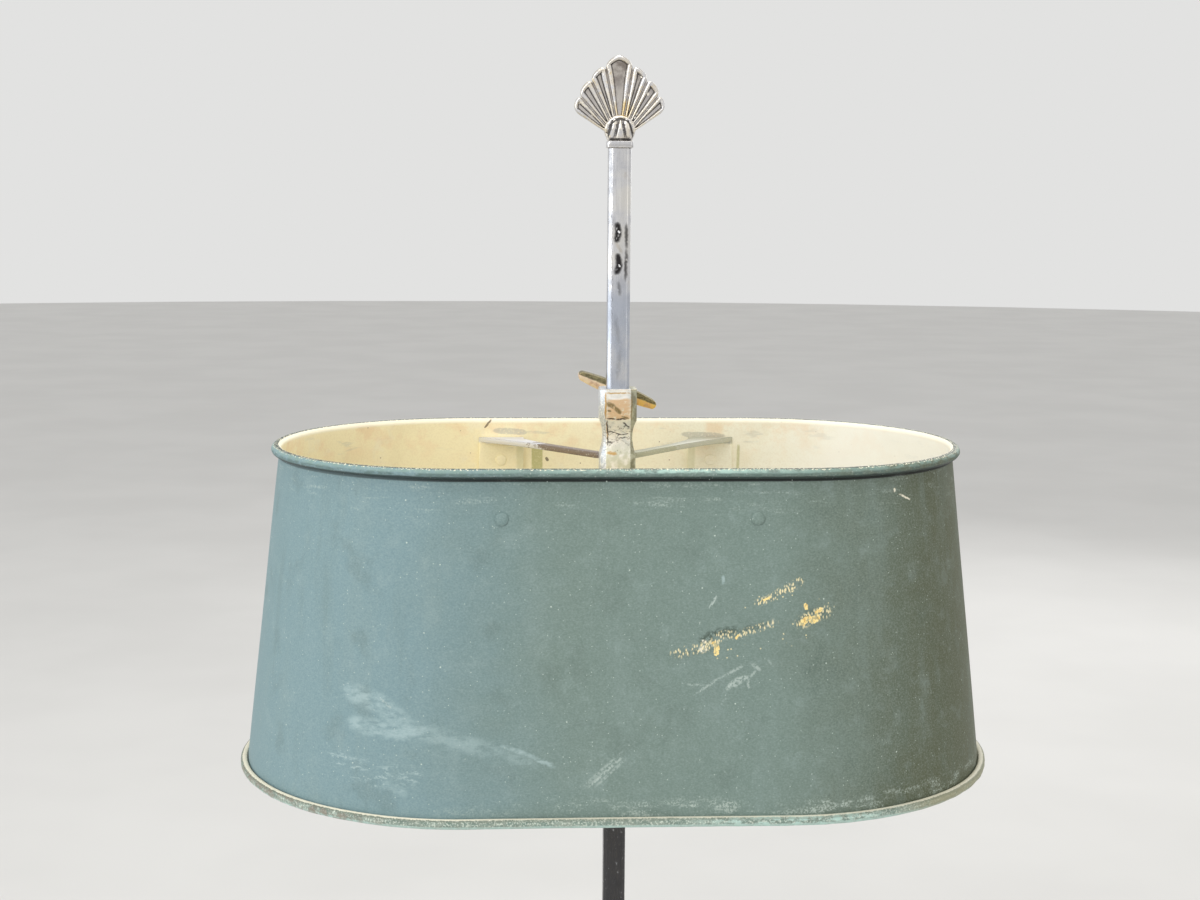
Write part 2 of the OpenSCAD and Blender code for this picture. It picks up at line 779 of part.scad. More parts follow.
module socket_nipple(side) {
    low = candle_z - joint_depth + 0.2;
    color(STEEL) at_candle(side) tube(joint_d / 2, 3, low, sleeve_z + socket_thread - 0.2 - low);
}

module lampholder(side) {
    color(PLASTIC) at_candle(side) translate([0, 0, sleeve_z]) difference() {
        cylinder(r = holder_r, h = holder_h);
        translate([0, 0, -past]) cylinder(r = joint_d / 2 + seat_gap, h = past + socket_thread);
        translate([0, 0, socket_thread - 0.5]) cylinder(r = holder_r - 2, h = contact_z - sleeve_z - socket_thread - 2);
        translate([0, 0, contact_z - sleeve_z]) cylinder(r = shell_r + shell_t + seat_gap, h = holder_h);
    }
}

module screw_shell(side) {
    color(BRASS) at_candle(side) tube(shell_r + shell_t, shell_r, contact_z, 26);
}

module centre_contact(side) {
    color(BRASS) at_candle(side) translate([0, 0, contact_z]) {
        cylinder(r = 3.5, h = 0.8);
        cylinder(r = 1.5, h = cap_low - 1.6 - contact_z);
    }
}

module candle_sleeve(side) {
    color(CREAM) at_candle(side)
        tube(sleeve_d / 2, sleeve_d / 2 - sleeve_wall, sleeve_z, sleeve_len);
}

module bulb_cap(side) {
    color(BRASS) at_candle(side) {
        translate([0, 0, cap_low]) cylinder(r = bulb_cap_d / 2, h = bulb_z - cap_low);
        translate([0, 0, cap_low - 1.5]) cylinder(r = 2.5, h = 2);
    }
}

// Radius of the candle bulb's glass at share t of its length: a straight neck, then a flame shape
function bulb_radius(t, inset) = let (
    neck = bulb_cap_d / 2 - 0.4,
    neck_share = (sleeve_z + sleeve_len + 1 - bulb_z) / bulb_len,
    s = max(0, (t - neck_share) / (1 - neck_share)),
    swell = pow(sin(180 * pow(s, 0.72)), 1.1),
    taper = 1 - pow(s, 2.2)
) neck * taper + (bulb_d / 2 - 0.88 * neck) * swell - inset;

module bulb_glass(side) {
    steps = 20;
    color("#f4f1e6", 0.5) at_candle(side) translate([0, 0, bulb_z]) rotate_extrude() polygon(concat(
        [for (i = [0:steps - 1]) [bulb_radius(i / steps, 0), bulb_len * i / steps]],
        [[0, bulb_len]],
        [[0, bulb_len - 3 * glass_t]],
        [for (i = [steps - 1:-1:0]) [bulb_radius(i / steps, glass_t), (bulb_len - 3 * glass_t) * i / steps]]
    ));
}

module filament(side) {
    arch_r = 5;
    arch_z = bulb_z + 26;
    color("#d8d0c0") at_candle(side) union() {
        translate([0, 0, bulb_z]) cylinder(r = 3, h = 12);
        for (x = [-arch_r, arch_r]) translate([x, 0, bulb_z + 10]) cylinder(r = 0.5, h = arch_z - bulb_z - 10);
        translate([-arch_r - 0.5, -0.6, bulb_z + 10]) cube([2 * arch_r + 1, 1.2, 1.2]);
        translate([0, 0, arch_z]) rotate([90, 0, 0]) rotate_extrude(angle = 180) translate([arch_r, 0]) circle(0.5);
    }
}

// ---- Shade carrier ----

// Half of the clamp's front view: a block and a foot joined by a curved waist
module clamp_view(grow) {
    mid = (block_w - waist_w) / 2;
    low = (foot_w - waist_w) / 2;
    up = block_low - waist_z;
    down = waist_z - foot_top;
    up_r = (up * up + mid * mid) / (2 * mid);
    down_r = (down * down + low * low) / (2 * low);
    half = waist_w / 2 + grow;
    polygon(concat(
        [[0, clamp_low], [foot_w / 2 + grow, clamp_low]],
        arc([half + down_r, waist_z], down_r, 180 + asin(down / down_r), 180, 5),
        arc([half + up_r, waist_z], up_r, 180, 180 - asin(up / up_r), 5),
        [[block_w / 2 + grow, clamp_top], [0, clamp_top]]
    ));
}

module clamp_slab(angle, grow) {
    reach = 2 * block_w;
    rotate(angle) rotate([90, 0, 0]) translate([0, 0, -reach]) linear_extrude(2 * reach) {
        clamp_view(grow);
        mirror([1, 0]) clamp_view(grow);
    }
}

module clamp_body() {
    color(SILVER) difference() {
        union() {
            intersection() {
                clamp_slab(0, 0);
                clamp_slab(90, 0);
                clamp_slab(45, clamp_corner);
                clamp_slab(-45, clamp_corner);
            }
            translate([0, 0, key_z]) rod_y(5, stem_w / 2 + 1, boss_end);
        }
        column(bore_w, stem_chamfer / 2, clamp_low - past, clamp_h + 2 * past);
        translate([-shoe_w / 2 - run_gap, 0, key_z - shoe_h / 2 - run_gap])
            cube([shoe_w + 2 * run_gap, pocket_y, shoe_h + 2 * run_gap]);
        translate([0, 0, key_z]) rod_y(key_screw_d / 2 + run_gap, 0, boss_end + past);
    }
}

module pressure_shoe() {
    color(BRASS) translate([0, 0, key_z]) difference() {
        translate([-shoe_w / 2, shoe_y, -shoe_h / 2]) cube([shoe_w, shoe_t, shoe_h]);
        rod_y(nose_d / 2 + run_gap, shoe_y + shoe_t - nose_l - run_gap, shoe_y + shoe_t + past);
    }
}

// Outline of the key's wing: two shallow arcs that meet round ends
function wing_outline() = let (
    half = (key_l - key_t) / 2,
    swell = (key_mid_t - key_t) / 2,
    curve = (half * half + swell * swell) / (2 * swell),
    turn = asin(half / curve),
    middle = key_mid_t / 2 - curve
) concat(
    arc([0, middle], curve, 90 - turn, 90 + turn, 12),
    arc([-half, 0], key_t / 2, 115, 245, 8),
    arc([0, -middle], curve, 270 - turn, 270 + turn, 12),
    arc([half, 0], key_t / 2, -65, 65, 8)
);

module clamp_key() {
    shoulder = shoe_y + shoe_t + run_gap;
    bar_end = key_bar_y + key_depth;
    color(BRASS) translate([0, 0, key_z]) union() {
        rod_y(nose_d / 2, shoulder - nose_l, shoulder + 1);
        rod_y(key_screw_d / 2, shoulder, key_bar_y + 1);
        rod_y(key_hub_r, key_hub_y, bar_end - 1);
        rotate([0, key_tilt, 0]) translate([0, bar_end, key_rise]) rotate([90, 0, 0])
            linear_extrude(key_depth) polygon(wing_outline());
    }
}

// Plan of one strap, on the back right: it leaves the clamp's corner and widens into its tab
module strap_plan(wall_y) {
    steps = 10;
    root = foot_w / 2 - 2;
    end_y = wall_y + 8;
    function mid_x(t) = root + (tab_x - root) * min(1, 1.16 * t);
    function half(t) = strap_w / 2 + (tab_w - strap_w) / 2 * pow(min(1, 1.13 * t), 5);
    polygon(concat(
        [for (i = [0:steps]) let (t = i / steps) [mid_x(t) + half(t), root + (end_y - root) * t]],
        [for (i = [steps:-1:0]) let (t = i / steps) [mid_x(t) - half(t), root + (end_y - root) * t]]
    ));
}

// Side view of one strap: from its top at the clamp to its top at the wall, then bent down along it
module strap_side(clamp_z, wall_z) {
    outer_v = -bead_r - seat_gap;
    inner_v = outer_v - strap_t;
    tab_start = wall_u(wall_z, outer_v);
    polygon([
        [0, clamp_z - strap_t], wall_point(wall_u(wall_z - strap_t, inner_v), inner_v),
        wall_point(tab_start + tab_h, inner_v), wall_point(tab_start + tab_h, outer_v),
        wall_point(tab_start + 1, outer_v), wall_point(tab_start, outer_v - 1), [0, clamp_z]
    ]);
}

// Front view of a tab, with its two round lower corners, run up past the strap
module tab_front(low) {
    translate([-shade_l, low + tab_corner_r]) square([2 * shade_l, shade_h]);
    translate([tab_x - tab_w / 2 + tab_corner_r, low]) square([tab_w - 2 * tab_corner_r, shade_h]);
    for (side = [-1, 1])
        translate([tab_x + side * (tab_w / 2 - tab_corner_r), low + tab_corner_r]) circle(tab_corner_r);
}

// A rod square through the shade's wall at a rivet, on the back right, from v0 to v1
module through_wall(r, v0, v1) {
    u = wall_u(rivet_z, -bead_r);
    p = wall_point(u, v0);
    translate([tab_x, p[0], p[1]]) rotate([lean - 90, 0, 0]) cylinder(r = r, h = v1 - v0);
}

module strut(x_side, y_side) {
    clamp_z = y_side < 0 ? strap_top - front_drop : strap_top;
    wall_z = y_side < 0 ? clamp_z : clamp_z - strap_fall;
    wall_y = wall_point(wall_u(wall_z, -bead_r), -bead_r)[0];
    tab_low = wall_point(wall_u(wall_z, -bead_r) + tab_h, -bead_r)[1];
    seat_w = foot_w + 2 * seat_gap;
    seat_cut = seat_w - sqrt(2) * (foot_w / 2 + clamp_corner + seat_gap);
    color(SILVER) mirror([x_side < 0 ? 1 : 0, 0, 0]) mirror([0, y_side < 0 ? 1 : 0, 0]) difference() {
        intersection() {
            translate([0, 0, tab_low - past]) linear_extrude(shade_h) strap_plan(wall_y);
            rotate([90, 0, 90]) linear_extrude(shade_l / 2) strap_side(clamp_z, wall_z);
            translate([0, shade_w, 0]) rotate([90, 0, 0]) linear_extrude(shade_w) tab_front(tab_low);
        }
        column(seat_w, seat_cut, clamp_low - past, foot_h + 2 * past);
        through_wall(rivet_d / 2 + seat_gap, -bead_r - 3 * strap_t, 0);
    }
}

module shade_rivets() {
    inner = -bead_r - seat_gap - strap_t;
    outer = -bead_r + sheet_t;
    color(PAINT) for (x_side = [0, 1], y_side = [0, 1]) mirror([x_side, 0, 0]) mirror([0, y_side, 0]) {
        through_wall(rivet_d / 2, inner - 0.2, outer + 0.2);
        through_wall(rivet_head_d / 2, inner - seat_gap - rivet_head_h, inner - seat_gap);
        through_wall(rivet_head_d / 2, outer + seat_gap, outer + seat_gap + rivet_head_h);
    }
}

// ---- Shade ----

// The sheet's section: up the wall, with a hem rolled outwards round each wire
module sheet_section() {
    inside = bead_r - sheet_t;
    turn = 360 - hem_opening;
    // In the wall's own frame, x is outwards and y up the wall from the bottom bead
    translate(wall_point(wall_len, 0)) rotate(lean) polygon(concat(
        arc([0, 0], bead_r, 180 + turn, 180, 20),
        arc([0, wall_len], bead_r, 180, 180 - turn, 20),
        arc([0, wall_len], inside, 180 - turn, 180, 20),
        arc([0, 0], inside, 180, 180 + turn, 20)
    ));
}

module shade_shell() {
    color(PAINT) difference() {
        oval_sweep(shade_half) sheet_section();
        for (x_side = [0, 1], y_side = [0, 1]) mirror([x_side, 0, 0]) mirror([0, y_side, 0])
            through_wall(rivet_d / 2 + seat_gap, -bead_r - past, sheet_t + past - bead_r);
    }
}

module rim_wire(u) {
    color(STEEL) oval_sweep(shade_half) translate(wall_point(u, 0)) circle(wire_d / 2);
}

module top_rim_wire() { rim_wire(0); }
module bottom_rim_wire() { rim_wire(wall_len); }

felt_pad();
base_cover_plate();
cover_screws();
base_shell();
dish_gallery();
base_weight();
pedestal();
stem_socket();
stem_nipple();
stem_washer();
stem_nut();
cord_gland();
gland_nut();
terminal_block();
switch_leads();
switch_body();
switch_ring_nut();
switch_knob();
stem_tube();
stem_leads();
stem_cap();
finial();
arm_hub();
hub_set_screw();
arm(-1);  // left_arm
arm_lead(-1);  // left_arm_lead
drip_pan(-1);  // left_drip_pan
candle_cup(-1);  // left_candle_cup
socket_nipple(-1);  // left_socket_nipple
lampholder(-1);  // left_lampholder
screw_shell(-1);  // left_screw_shell
centre_contact(-1);  // left_centre_contact
candle_sleeve(-1);  // left_candle_sleeve
bulb_cap(-1);  // left_bulb_cap
bulb_glass(-1);  // left_bulb_glass
filament(-1);  // left_filament
arm(1);  // right_arm
arm_lead(1);  // right_arm_lead
drip_pan(1);  // right_drip_pan
candle_cup(1);  // right_candle_cup
socket_nipple(1);  // right_socket_nipple
lampholder(1);  // right_lampholder
screw_shell(1);  // right_screw_shell
centre_contact(1);  // right_centre_contact
candle_sleeve(1);  // right_candle_sleeve
bulb_cap(1);  // right_bulb_cap
bulb_glass(1);  // right_bulb_glass
filament(1);  // right_filament
clamp_body();
pressure_shoe();
clamp_key();
strut(-1, -1);  // front_left_strut
strut(1, -1);  // front_right_strut
strut(-1, 1);  // back_left_strut
strut(1, 1);  // back_right_strut
shade_rivets();
shade_shell();
top_rim_wire();
bottom_rim_wire();
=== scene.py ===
"""Finish and fine shapes of a bouillotte lamp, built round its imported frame.

The frame gives the lamp's real pieces. This script casts the palmette finial, rolls the oval painted
sheet with its beads, turns the pans, cups, sleeves and bulbs of the light unit, and gives every
surface its own aged finish. Lengths are millimetres in the lamp's frame unless a name says otherwise.
"""

import logging
import math
from dataclasses import dataclass
from enum import Enum
from typing import Callable, Optional, Sequence, Union

import bmesh
import bpy
from mathutils import Matrix, Vector, noise


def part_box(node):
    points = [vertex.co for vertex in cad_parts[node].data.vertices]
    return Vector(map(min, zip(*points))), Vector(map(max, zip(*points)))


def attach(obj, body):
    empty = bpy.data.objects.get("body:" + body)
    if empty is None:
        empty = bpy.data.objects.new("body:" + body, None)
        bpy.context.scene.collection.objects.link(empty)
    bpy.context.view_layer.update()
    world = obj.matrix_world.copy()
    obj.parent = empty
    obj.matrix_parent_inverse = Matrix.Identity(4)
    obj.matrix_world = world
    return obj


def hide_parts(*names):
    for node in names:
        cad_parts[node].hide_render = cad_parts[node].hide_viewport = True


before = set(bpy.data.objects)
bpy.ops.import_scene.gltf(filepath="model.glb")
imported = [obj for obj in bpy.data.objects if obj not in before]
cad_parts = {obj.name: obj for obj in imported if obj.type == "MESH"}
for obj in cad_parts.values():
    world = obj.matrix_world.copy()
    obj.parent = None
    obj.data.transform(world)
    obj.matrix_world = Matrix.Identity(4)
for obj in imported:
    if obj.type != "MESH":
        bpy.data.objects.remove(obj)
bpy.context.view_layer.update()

MM = 0.001
PER_METRE = 1000.0
WELD = 0.001 * MM
SMOOTH_UNDER = math.radians(33)
SOFTEN_OVER = math.radians(38)
EVEN = (1.0, 1.0, 1.0)
Finish = bpy.types.Material
Socket = bpy.types.NodeSocket
Tone = tuple[float, float, float, float]
Signal = Union[Socket, float]
Colour = Union[Socket, Tone]
Point = tuple[float, float, float]
Flat = tuple[float, float]
log = logging.getLogger("lamp")


# ---- Small helpers ----


def paint(red: float, green: float, blue: float) -> Tone:
    """Gives the scene colour of a screen colour.

    Args:
        red: Red from 0 to 255.
        green: Green from 0 to 255.
        blue: Blue from 0 to 255.

    Returns:
        The linear colour with full alpha.
    """
    parts = [value / 255 for value in (red, green, blue)]
    curve = [p / 12.92 if p <= 0.04045 else ((p + 0.055) / 1.055) ** 2.4 for p in parts]
    return (curve[0], curve[1], curve[2], 1.0)


def box_mm(node: str) -> tuple[Vector, Vector]:
    """Gives a node's lowest and highest corner in millimetres."""
    low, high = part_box(node)
    return low * PER_METRE, high * PER_METRE


def smooth_step(value: float, start: float, stop: float) -> float:
    """Rises from 0 at start to 1 at stop with soft ends."""
    share = min(1.0, max(0.0, (value - start) / (stop - start)))
    return share * share * (3 - 2 * share)


def arc(centre: Flat, radius: float, start: float, stop: float, steps: int) -> list[Flat]:
    """Gives points along an arc from a start to a stop angle in degrees, both ends included."""
    angles = [math.radians(start + (stop - start) * i / steps) for i in range(steps + 1)]
    return [(centre[0] + radius * math.cos(a), centre[1] + radius * math.sin(a)) for a in angles]


def gap_to_stroke(x: float, z: float, start: Flat, end: Flat) -> tuple[float, float]:
    """Measures a point against a straight stroke.

    Args:
        x: The point's first coordinate.
        z: The point's second coordinate.
        start: Start of the stroke.
        end: End of the stroke.

    Returns:
        The distance to the stroke and the share of its length at the nearest place.
    """
    along = (end[0] - start[0], end[1] - start[1])
    length = along[0] ** 2 + along[1] ** 2
    share = ((x - start[0]) * along[0] + (z - start[1]) * along[1]) / length
    share = min(1.0, max(0.0, share))
    near = (start[0] + share * along[0], start[1] + share * along[1])
    return math.hypot(x - near[0], z - near[1]), share


# ---- Shader board ----


class Board:
    """The node board of one finish, wired in millimetres of the lamp's frame."""

    def __init__(self, name: str) -> None:
        """Starts an empty board with a principled shader.

        Args:
            name: The finish's name.
        """
        self.material = bpy.data.materials.new(name)
        self.material.use_nodes = True
        self.tree = self.material.node_tree
        self.tree.nodes.clear()
        self.output = self.add("ShaderNodeOutputMaterial")
        self.shader = self.add("ShaderNodeBsdfPrincipled")
        self.tree.links.new(self.shader.outputs["BSDF"], self.output.inputs["Surface"])
        self.coordinates = self.add("ShaderNodeTexCoord")
        self.place = self.scaled(self.coordinates.outputs["Object"], PER_METRE)
        self.x, self.y, self.z = self.split(self.place)

    def add(self, kind: str, **settings: object) -> bpy.types.Node:
        """Adds a node and gives it its settings.

        Args:
            kind: Type of the node.
            **settings: Its settings by name.

        Returns:
            The node.
        """
        node = self.tree.nodes.new(kind)
        for key, value in settings.items():
            setattr(node, key, value)
        return node

    def plug(self, socket: Socket, value: object) -> None:
        """Links a signal to a socket, or sets the socket to a constant.

        Args:
            socket: The socket.
            value: A signal or a constant.
        """
        if isinstance(value, Socket):
            self.tree.links.new(value, socket)
        else:
            socket.default_value = value

    def math(self, operation: str, first: Signal, second: Signal = 0.0) -> Signal:
        """Runs one sum on two signals.

        Args:
            operation: Name of the sum.
            first: First signal.
            second: Second signal.

        Returns:
            The result.
        """
        node = self.add("ShaderNodeMath", operation=operation)
        self.plug(node.inputs[0], first)
        self.plug(node.inputs[1], second)
        return node.outputs[0]

    def times(self, *signals: Signal) -> Signal:
        """Multiplies signals.

        Args:
            *signals: The signals.

        Returns:
            Their product.
        """
        result = signals[0]
        for signal in signals[1:]:
            result = self.math("MULTIPLY", result, signal)
        return result

    def plus(self, first: Signal, second: Signal) -> Signal:
        """Adds two signals."""
        return self.math("ADD", first, second)

    def less(self, first: Signal, second: Signal) -> Signal:
        """Takes the second signal from the first."""
        return self.math("SUBTRACT", first, second)

    def strongest(self, *signals: Signal) -> Signal:
        """Keeps the largest of some signals.

        Args:
            *signals: The signals.

        Returns:
            The largest of them at each place.
        """
        result = signals[0]
        for signal in signals[1:]:
            result = self.math("MAXIMUM", result, signal)
        return result

    def inverse(self, signal: Signal) -> Signal:
        """Gives 1 less the signal."""
        return self.math("SUBTRACT", 1.0, signal)

    def vector(self, operation: str, first: object, second: object) -> Socket:
        """Runs one vector sum and gives its vector, or its value for a dot product or a distance.

        Args:
            operation: Name of the sum.
            first: First vector.
            second: Second vector.

        Returns:
            The vector or the value.
        """
        node = self.add("ShaderNodeVectorMath", operation=operation)
        self.plug(node.inputs[0], first)
        self.plug(node.inputs[1], second)
        is_value = operation in ("DOT_PRODUCT", "DISTANCE")
        return node.outputs["Value" if is_value else "Vector"]

    def scaled(self, vector: object, scale: Signal) -> Socket:
        """Scales a vector.

        Args:
            vector: The vector.
            scale: What it is multiplied by.

        Returns:
            The scaled vector.
        """
        node = self.add("ShaderNodeVectorMath", operation="SCALE")
        self.plug(node.inputs[0], vector)
        self.plug(node.inputs["Scale"], scale)
        return node.outputs["Vector"]

    def split(self, vector: Socket) -> tuple[Signal, Signal, Signal]:
        """Splits a vector into its three parts.

        Args:
            vector: The vector.

        Returns:
            Its x, y and z.
        """
        node = self.add("ShaderNodeSeparateXYZ")
        self.plug(node.inputs[0], vector)
        return node.outputs[0], node.outputs[1], node.outputs[2]

    def join(self, x: Signal, y: Signal, z: Signal) -> Socket:
        """Joins three signals into a vector.

        Args:
            x: First part.
            y: Second part.
            z: Third part.

        Returns:
            The vector.
        """
        node = self.add("ShaderNodeCombineXYZ")
        for socket, value in zip(node.inputs, (x, y, z)):
            self.plug(socket, value)
        return node.outputs[0]

    def ramp(self, value: Signal, start: float, stop: float, low: float = 0.0, high: float = 1.0) -> Signal:
        """Turns a signal into a soft step.

        Args:
            value: The signal.
            start: Where the step begins. It may lie above stop.
            stop: Where the step ends.
            low: Result before the step.
            high: Result after it.

        Returns:
            The stepped signal.
        """
        node = self.add("ShaderNodeMapRange", interpolation_type="SMOOTHSTEP", clamp=False)
        for socket, part in zip(node.inputs, (value, start, stop, low, high)):
            self.plug(socket, part)
        return node.outputs[0]

    def band(self, value: Signal, low: float, high: float, soft: float) -> Signal:
        """Gives 1 between low and high, with soft sides.

        Args:
            value: The signal.
            low: Lower border.
            high: Upper border.
            soft: Half the width of each side.

        Returns:
            A mask from 0 to 1.
        """
        rise = self.ramp(value, low - soft, low + soft)
        fall = self.ramp(value, high + soft, high - soft)
        return self.times(rise, fall)

    def mix(self, share: Signal, first: Colour, second: Colour) -> Colour:
        """Mixes two colours by a share from 0 to 1.

        Args:
            share: Share of the second colour.
            first: First colour.
            second: Second colour.

        Returns:
            The mixed colour.
        """
        node = self.add("ShaderNodeMix", data_type="RGBA")
        for index, value in ((0, share), (6, first), (7, second)):
            self.plug(node.inputs[index], value)
        return node.outputs[2]

    def over(self, colour: Colour, tone: Point, mask: Signal, *shares: Signal) -> Colour:
        """Lays a screen colour over another by a mask, held back by shares."""
        return self.mix(self.times(mask, *shares), colour, paint(*tone))

    def sway(self, noise: Signal, amount: float) -> Signal:
        """Centres noise on 0 and scales it, to shake a place or a border."""
        return self.times(self.less(noise, 0.5), amount)

    def noise(
        self,
        size: float,
        detail: float = 4.0,
        rough: float = 0.55,
        stretch: Point = EVEN,
        shift: float = 0.0,
    ) -> Signal:
        """Makes cloudy noise.

        Args:
            size: Width of its lumps.
            detail: Number of finer layers.
            rough: Strength of the finer layers.
            stretch: Share by which each axis is squeezed.
            shift: Moves the pattern, so that two noises differ.

        Returns:
            A signal that is mostly from 0.3 to 0.7.
        """
        node = self.add("ShaderNodeTexNoise")
        self.plug(node.inputs["Vector"], self.pattern_place(size, stretch, shift))
        self.plug(node.inputs["Scale"], 1.0)
        self.plug(node.inputs["Detail"], detail)
        self.plug(node.inputs["Roughness"], rough)
        return node.outputs[0]

    def pattern_place(self, size: float, stretch: Point, shift: float) -> Socket:
        """Gives pattern coordinates whose unit is size millimetres, squeezed and moved.

        Args:
            size: Length of the unit.
            stretch: Share by which each axis is squeezed.
            shift: Moves the pattern.

        Returns:
            The coordinates.
        """
        node = self.add("ShaderNodeMapping")
        self.plug(node.inputs["Vector"], self.coordinates.outputs["Object"])
        self.plug(node.inputs["Location"], (shift, 1.7 * shift, 0.3 * shift))
        self.plug(node.inputs["Scale"], tuple(PER_METRE * s / size for s in stretch))
        return node.outputs[0]

    def cells(self, size: float, stretch: Point = EVEN, shift: float = 0.0) -> tuple[Signal, Signal]:
        """Makes a cell pattern.

        Args:
            size: Width of a cell.
            stretch: Share by which each axis is squeezed.
            shift: Moves the pattern.

        Returns:
            The distance to the cell's middle in cells, and a random value for each cell.
        """
        node = self.add("ShaderNodeTexVoronoi")
        self.plug(node.inputs["Vector"], self.pattern_place(size, stretch, shift))
        self.plug(node.inputs["Scale"], 1.0)
        return node.outputs["Distance"], self.split(node.outputs["Color"])[0]

    def flecks(
        self,
        size: float,
        share: float,
        radius: float,
        stretch: Point = EVEN,
        shift: float = 0.0,
    ) -> Signal:
        """Scatters small flecks.

        Args:
            size: Pitch of the flecks.
            share: Share of the cells that hold one.
            radius: Radius of a fleck as a share of the pitch.
            stretch: Share by which each axis is squeezed.
            shift: Moves the pattern.

        Returns:
            A mask that is 1 on a fleck.
        """
        distance, random = self.cells(size, stretch, shift)
        near = self.ramp(distance, radius, 0.5 * radius)
        return self.times(near, self.ramp(random, 1 - share, 1.01 - share))

    def stroke(self, plane: Socket, start: Flat, end: Flat, width: float, strength: float) -> Signal:
        """Draws one blunt stroke on the lamp's front view.

        Args:
            plane: Front view coordinates: x, 1 and the height.
            start: Its start in x and height.
            end: Its end in x and height.
            width: Half its width.
            strength: Value on its middle line.

        Returns:
            A signal that falls from the strength to 0 at the stroke's border, and below 0 outside.
        """
        middle = Vector(((start[0] + end[0]) / 2, (start[1] + end[1]) / 2))
        along = Vector((end[0] - start[0], end[1] - start[1]))
        reach = along.length / 2 + width
        along.normalize()

        def measured(way: Vector, unit: float) -> Signal:
            """Measures from the stroke's middle along a direction, in units of a length."""
            return self.vector("DOT_PRODUCT", plane, (way.x / unit, -way.dot(middle) / unit, way.y / unit))

        ahead = measured(along, reach)
        aside = measured(Vector((-along.y, along.x)), width)
        far = self.multiply_add(aside, aside, self.math("POWER", ahead, 4.0))
        return self.multiply_add(far, -strength, strength)

    def multiply_add(self, first: Signal, second: Signal, third: Signal) -> Signal:
        """Multiplies two signals and adds a third.

        Args:
            first: First signal.
            second: What it is multiplied by.
            third: What is added.

        Returns:
            The sum.
        """
        node = self.add("ShaderNodeMath", operation="MULTIPLY_ADD")
        for socket, value in zip(node.inputs, (first, second, third)):
            self.plug(socket, value)
        return node.outputs[0]

    def warped(self, amount: float, size: float, height: float) -> Socket:
        """Gives front view coordinates from a height, shaken by noise so that marks look made by hand.

        Args:
            amount: Strength of the shake.
            size: Width of the noise's lumps.
            height: Height that counts as 0.

        Returns:
            The coordinates: x, 1 and the height.
        """
        shake_x = self.sway(self.noise(size, shift=3.1), amount)
        shake_z = self.sway(self.noise(size, shift=8.3), amount)
        return self.join(self.plus(self.x, shake_x), 1.0, self.plus(self.less(self.z, height), shake_z))

    def edges(self, radius: float, start: float = 0.985, stop: float = 0.86) -> Signal:
        """Finds sharp edges: 1 on them and 0 away from them.

        Args:
            radius: How far the bevel looks.
            start: Agreement of the normals at the edge's border.
            stop: Agreement on the edge itself.

        Returns:
            A mask from 0 to 1.
        """
        bevel = self.add("ShaderNodeBevel", samples=6)
        self.plug(bevel.inputs["Radius"], radius * MM)
        true_normal = self.add("ShaderNodeNewGeometry").outputs["Normal"]
        return self.ramp(self.vector("DOT_PRODUCT", bevel.outputs[0], true_normal), start, stop)

    def hollows(self, reach: float, stop: float = 0.35) -> Signal:
        """Finds hollows and inner corners: 1 deep inside them.

        Args:
            reach: How far the hollow may be wide.
            stop: Openness at which the mask is full.

        Returns:
            A mask from 0 to 1.
        """
        shade = self.add("ShaderNodeAmbientOcclusion", samples=8)
        self.plug(shade.inputs["Distance"], reach * MM)
        return self.ramp(shade.outputs["AO"], 0.8, stop)

    def bend(self, start: float, stop: float) -> Signal:
        """Steps by how a fine mesh bends: under a half in hollows and over a half on crests."""
        return self.ramp(self.add("ShaderNodeNewGeometry").outputs["Pointiness"], start, stop)

    def facing_up(self) -> Signal:
        """Gives 1 where the surface looks up in the piece's own frame."""
        return self.ramp(self.split(self.coordinates.outputs["Normal"])[2], 0.35, 0.8)

    def relief(self, height: Signal, depth: float) -> Signal:
        """Turns a height signal into a bumped normal.

        Args:
            height: The height from 0 to 1.
            depth: Its real depth.

        Returns:
            The normal.
        """
        node = self.add("ShaderNodeBump")
        self.plug(node.inputs["Strength"], 1.0)
        self.plug(node.inputs["Distance"], depth * MM)
        self.plug(node.inputs["Height"], height)
        return node.outputs[0]

    def dress(self, **parts: object) -> Finish:
        """Sets the shader's sockets by name, with _ for a space, and gives the material.

        Args:
            **parts: Signals or constants by the socket's name.

        Returns:
            The material.
        """
        for key, value in parts.items():
            self.plug(self.shader.inputs[key.replace("_", " ")], value)
        return self.material


# ---- Marks of use ----


class MarkKind(Enum):
    """What left a mark: its colour and the size of the grain that breaks it up."""

    SCUFF = (paint(178, 199, 199), 2.4)
    SCRATCH = (paint(186, 199, 192), 0.9)
    GILDING = (paint(255, 230, 158), 0.85)
    HATCH = (paint(236, 222, 176), 0.8)
    CHALK = (paint(232, 226, 204), 0.8)
    DOTS = (paint(240, 226, 176), 0.8)
    CURLS = (paint(190, 208, 206), 0.8)
    SMUDGE = (paint(74, 88, 78), 1.1)
    TARNISH = (paint(52, 50, 50), 1.6)
    BARE_BRASS = (paint(228, 198, 162), 1.6)
    # painted glint: white highlights laid on as marks
    PAINTED_GLINT = (paint(250, 250, 250), 0.8)
    RUST = (paint(146, 128, 92), 1.4)
    OCHRE = (paint(198, 160, 100), 1.0)

    @property
    def colour(self) -> Tone:
        """The mark's colour."""
        return self.value[0]

    @property
    def grain(self) -> float:
        """Size of the grain that breaks the mark up."""
        return self.value[1]


@dataclass(frozen=True)
class Mark:
    """One stroke of a mark on the lamp's front, in x and in height from a given level."""

    kind: MarkKind
    start: Flat
    end: Flat
    width: float
    strength: float


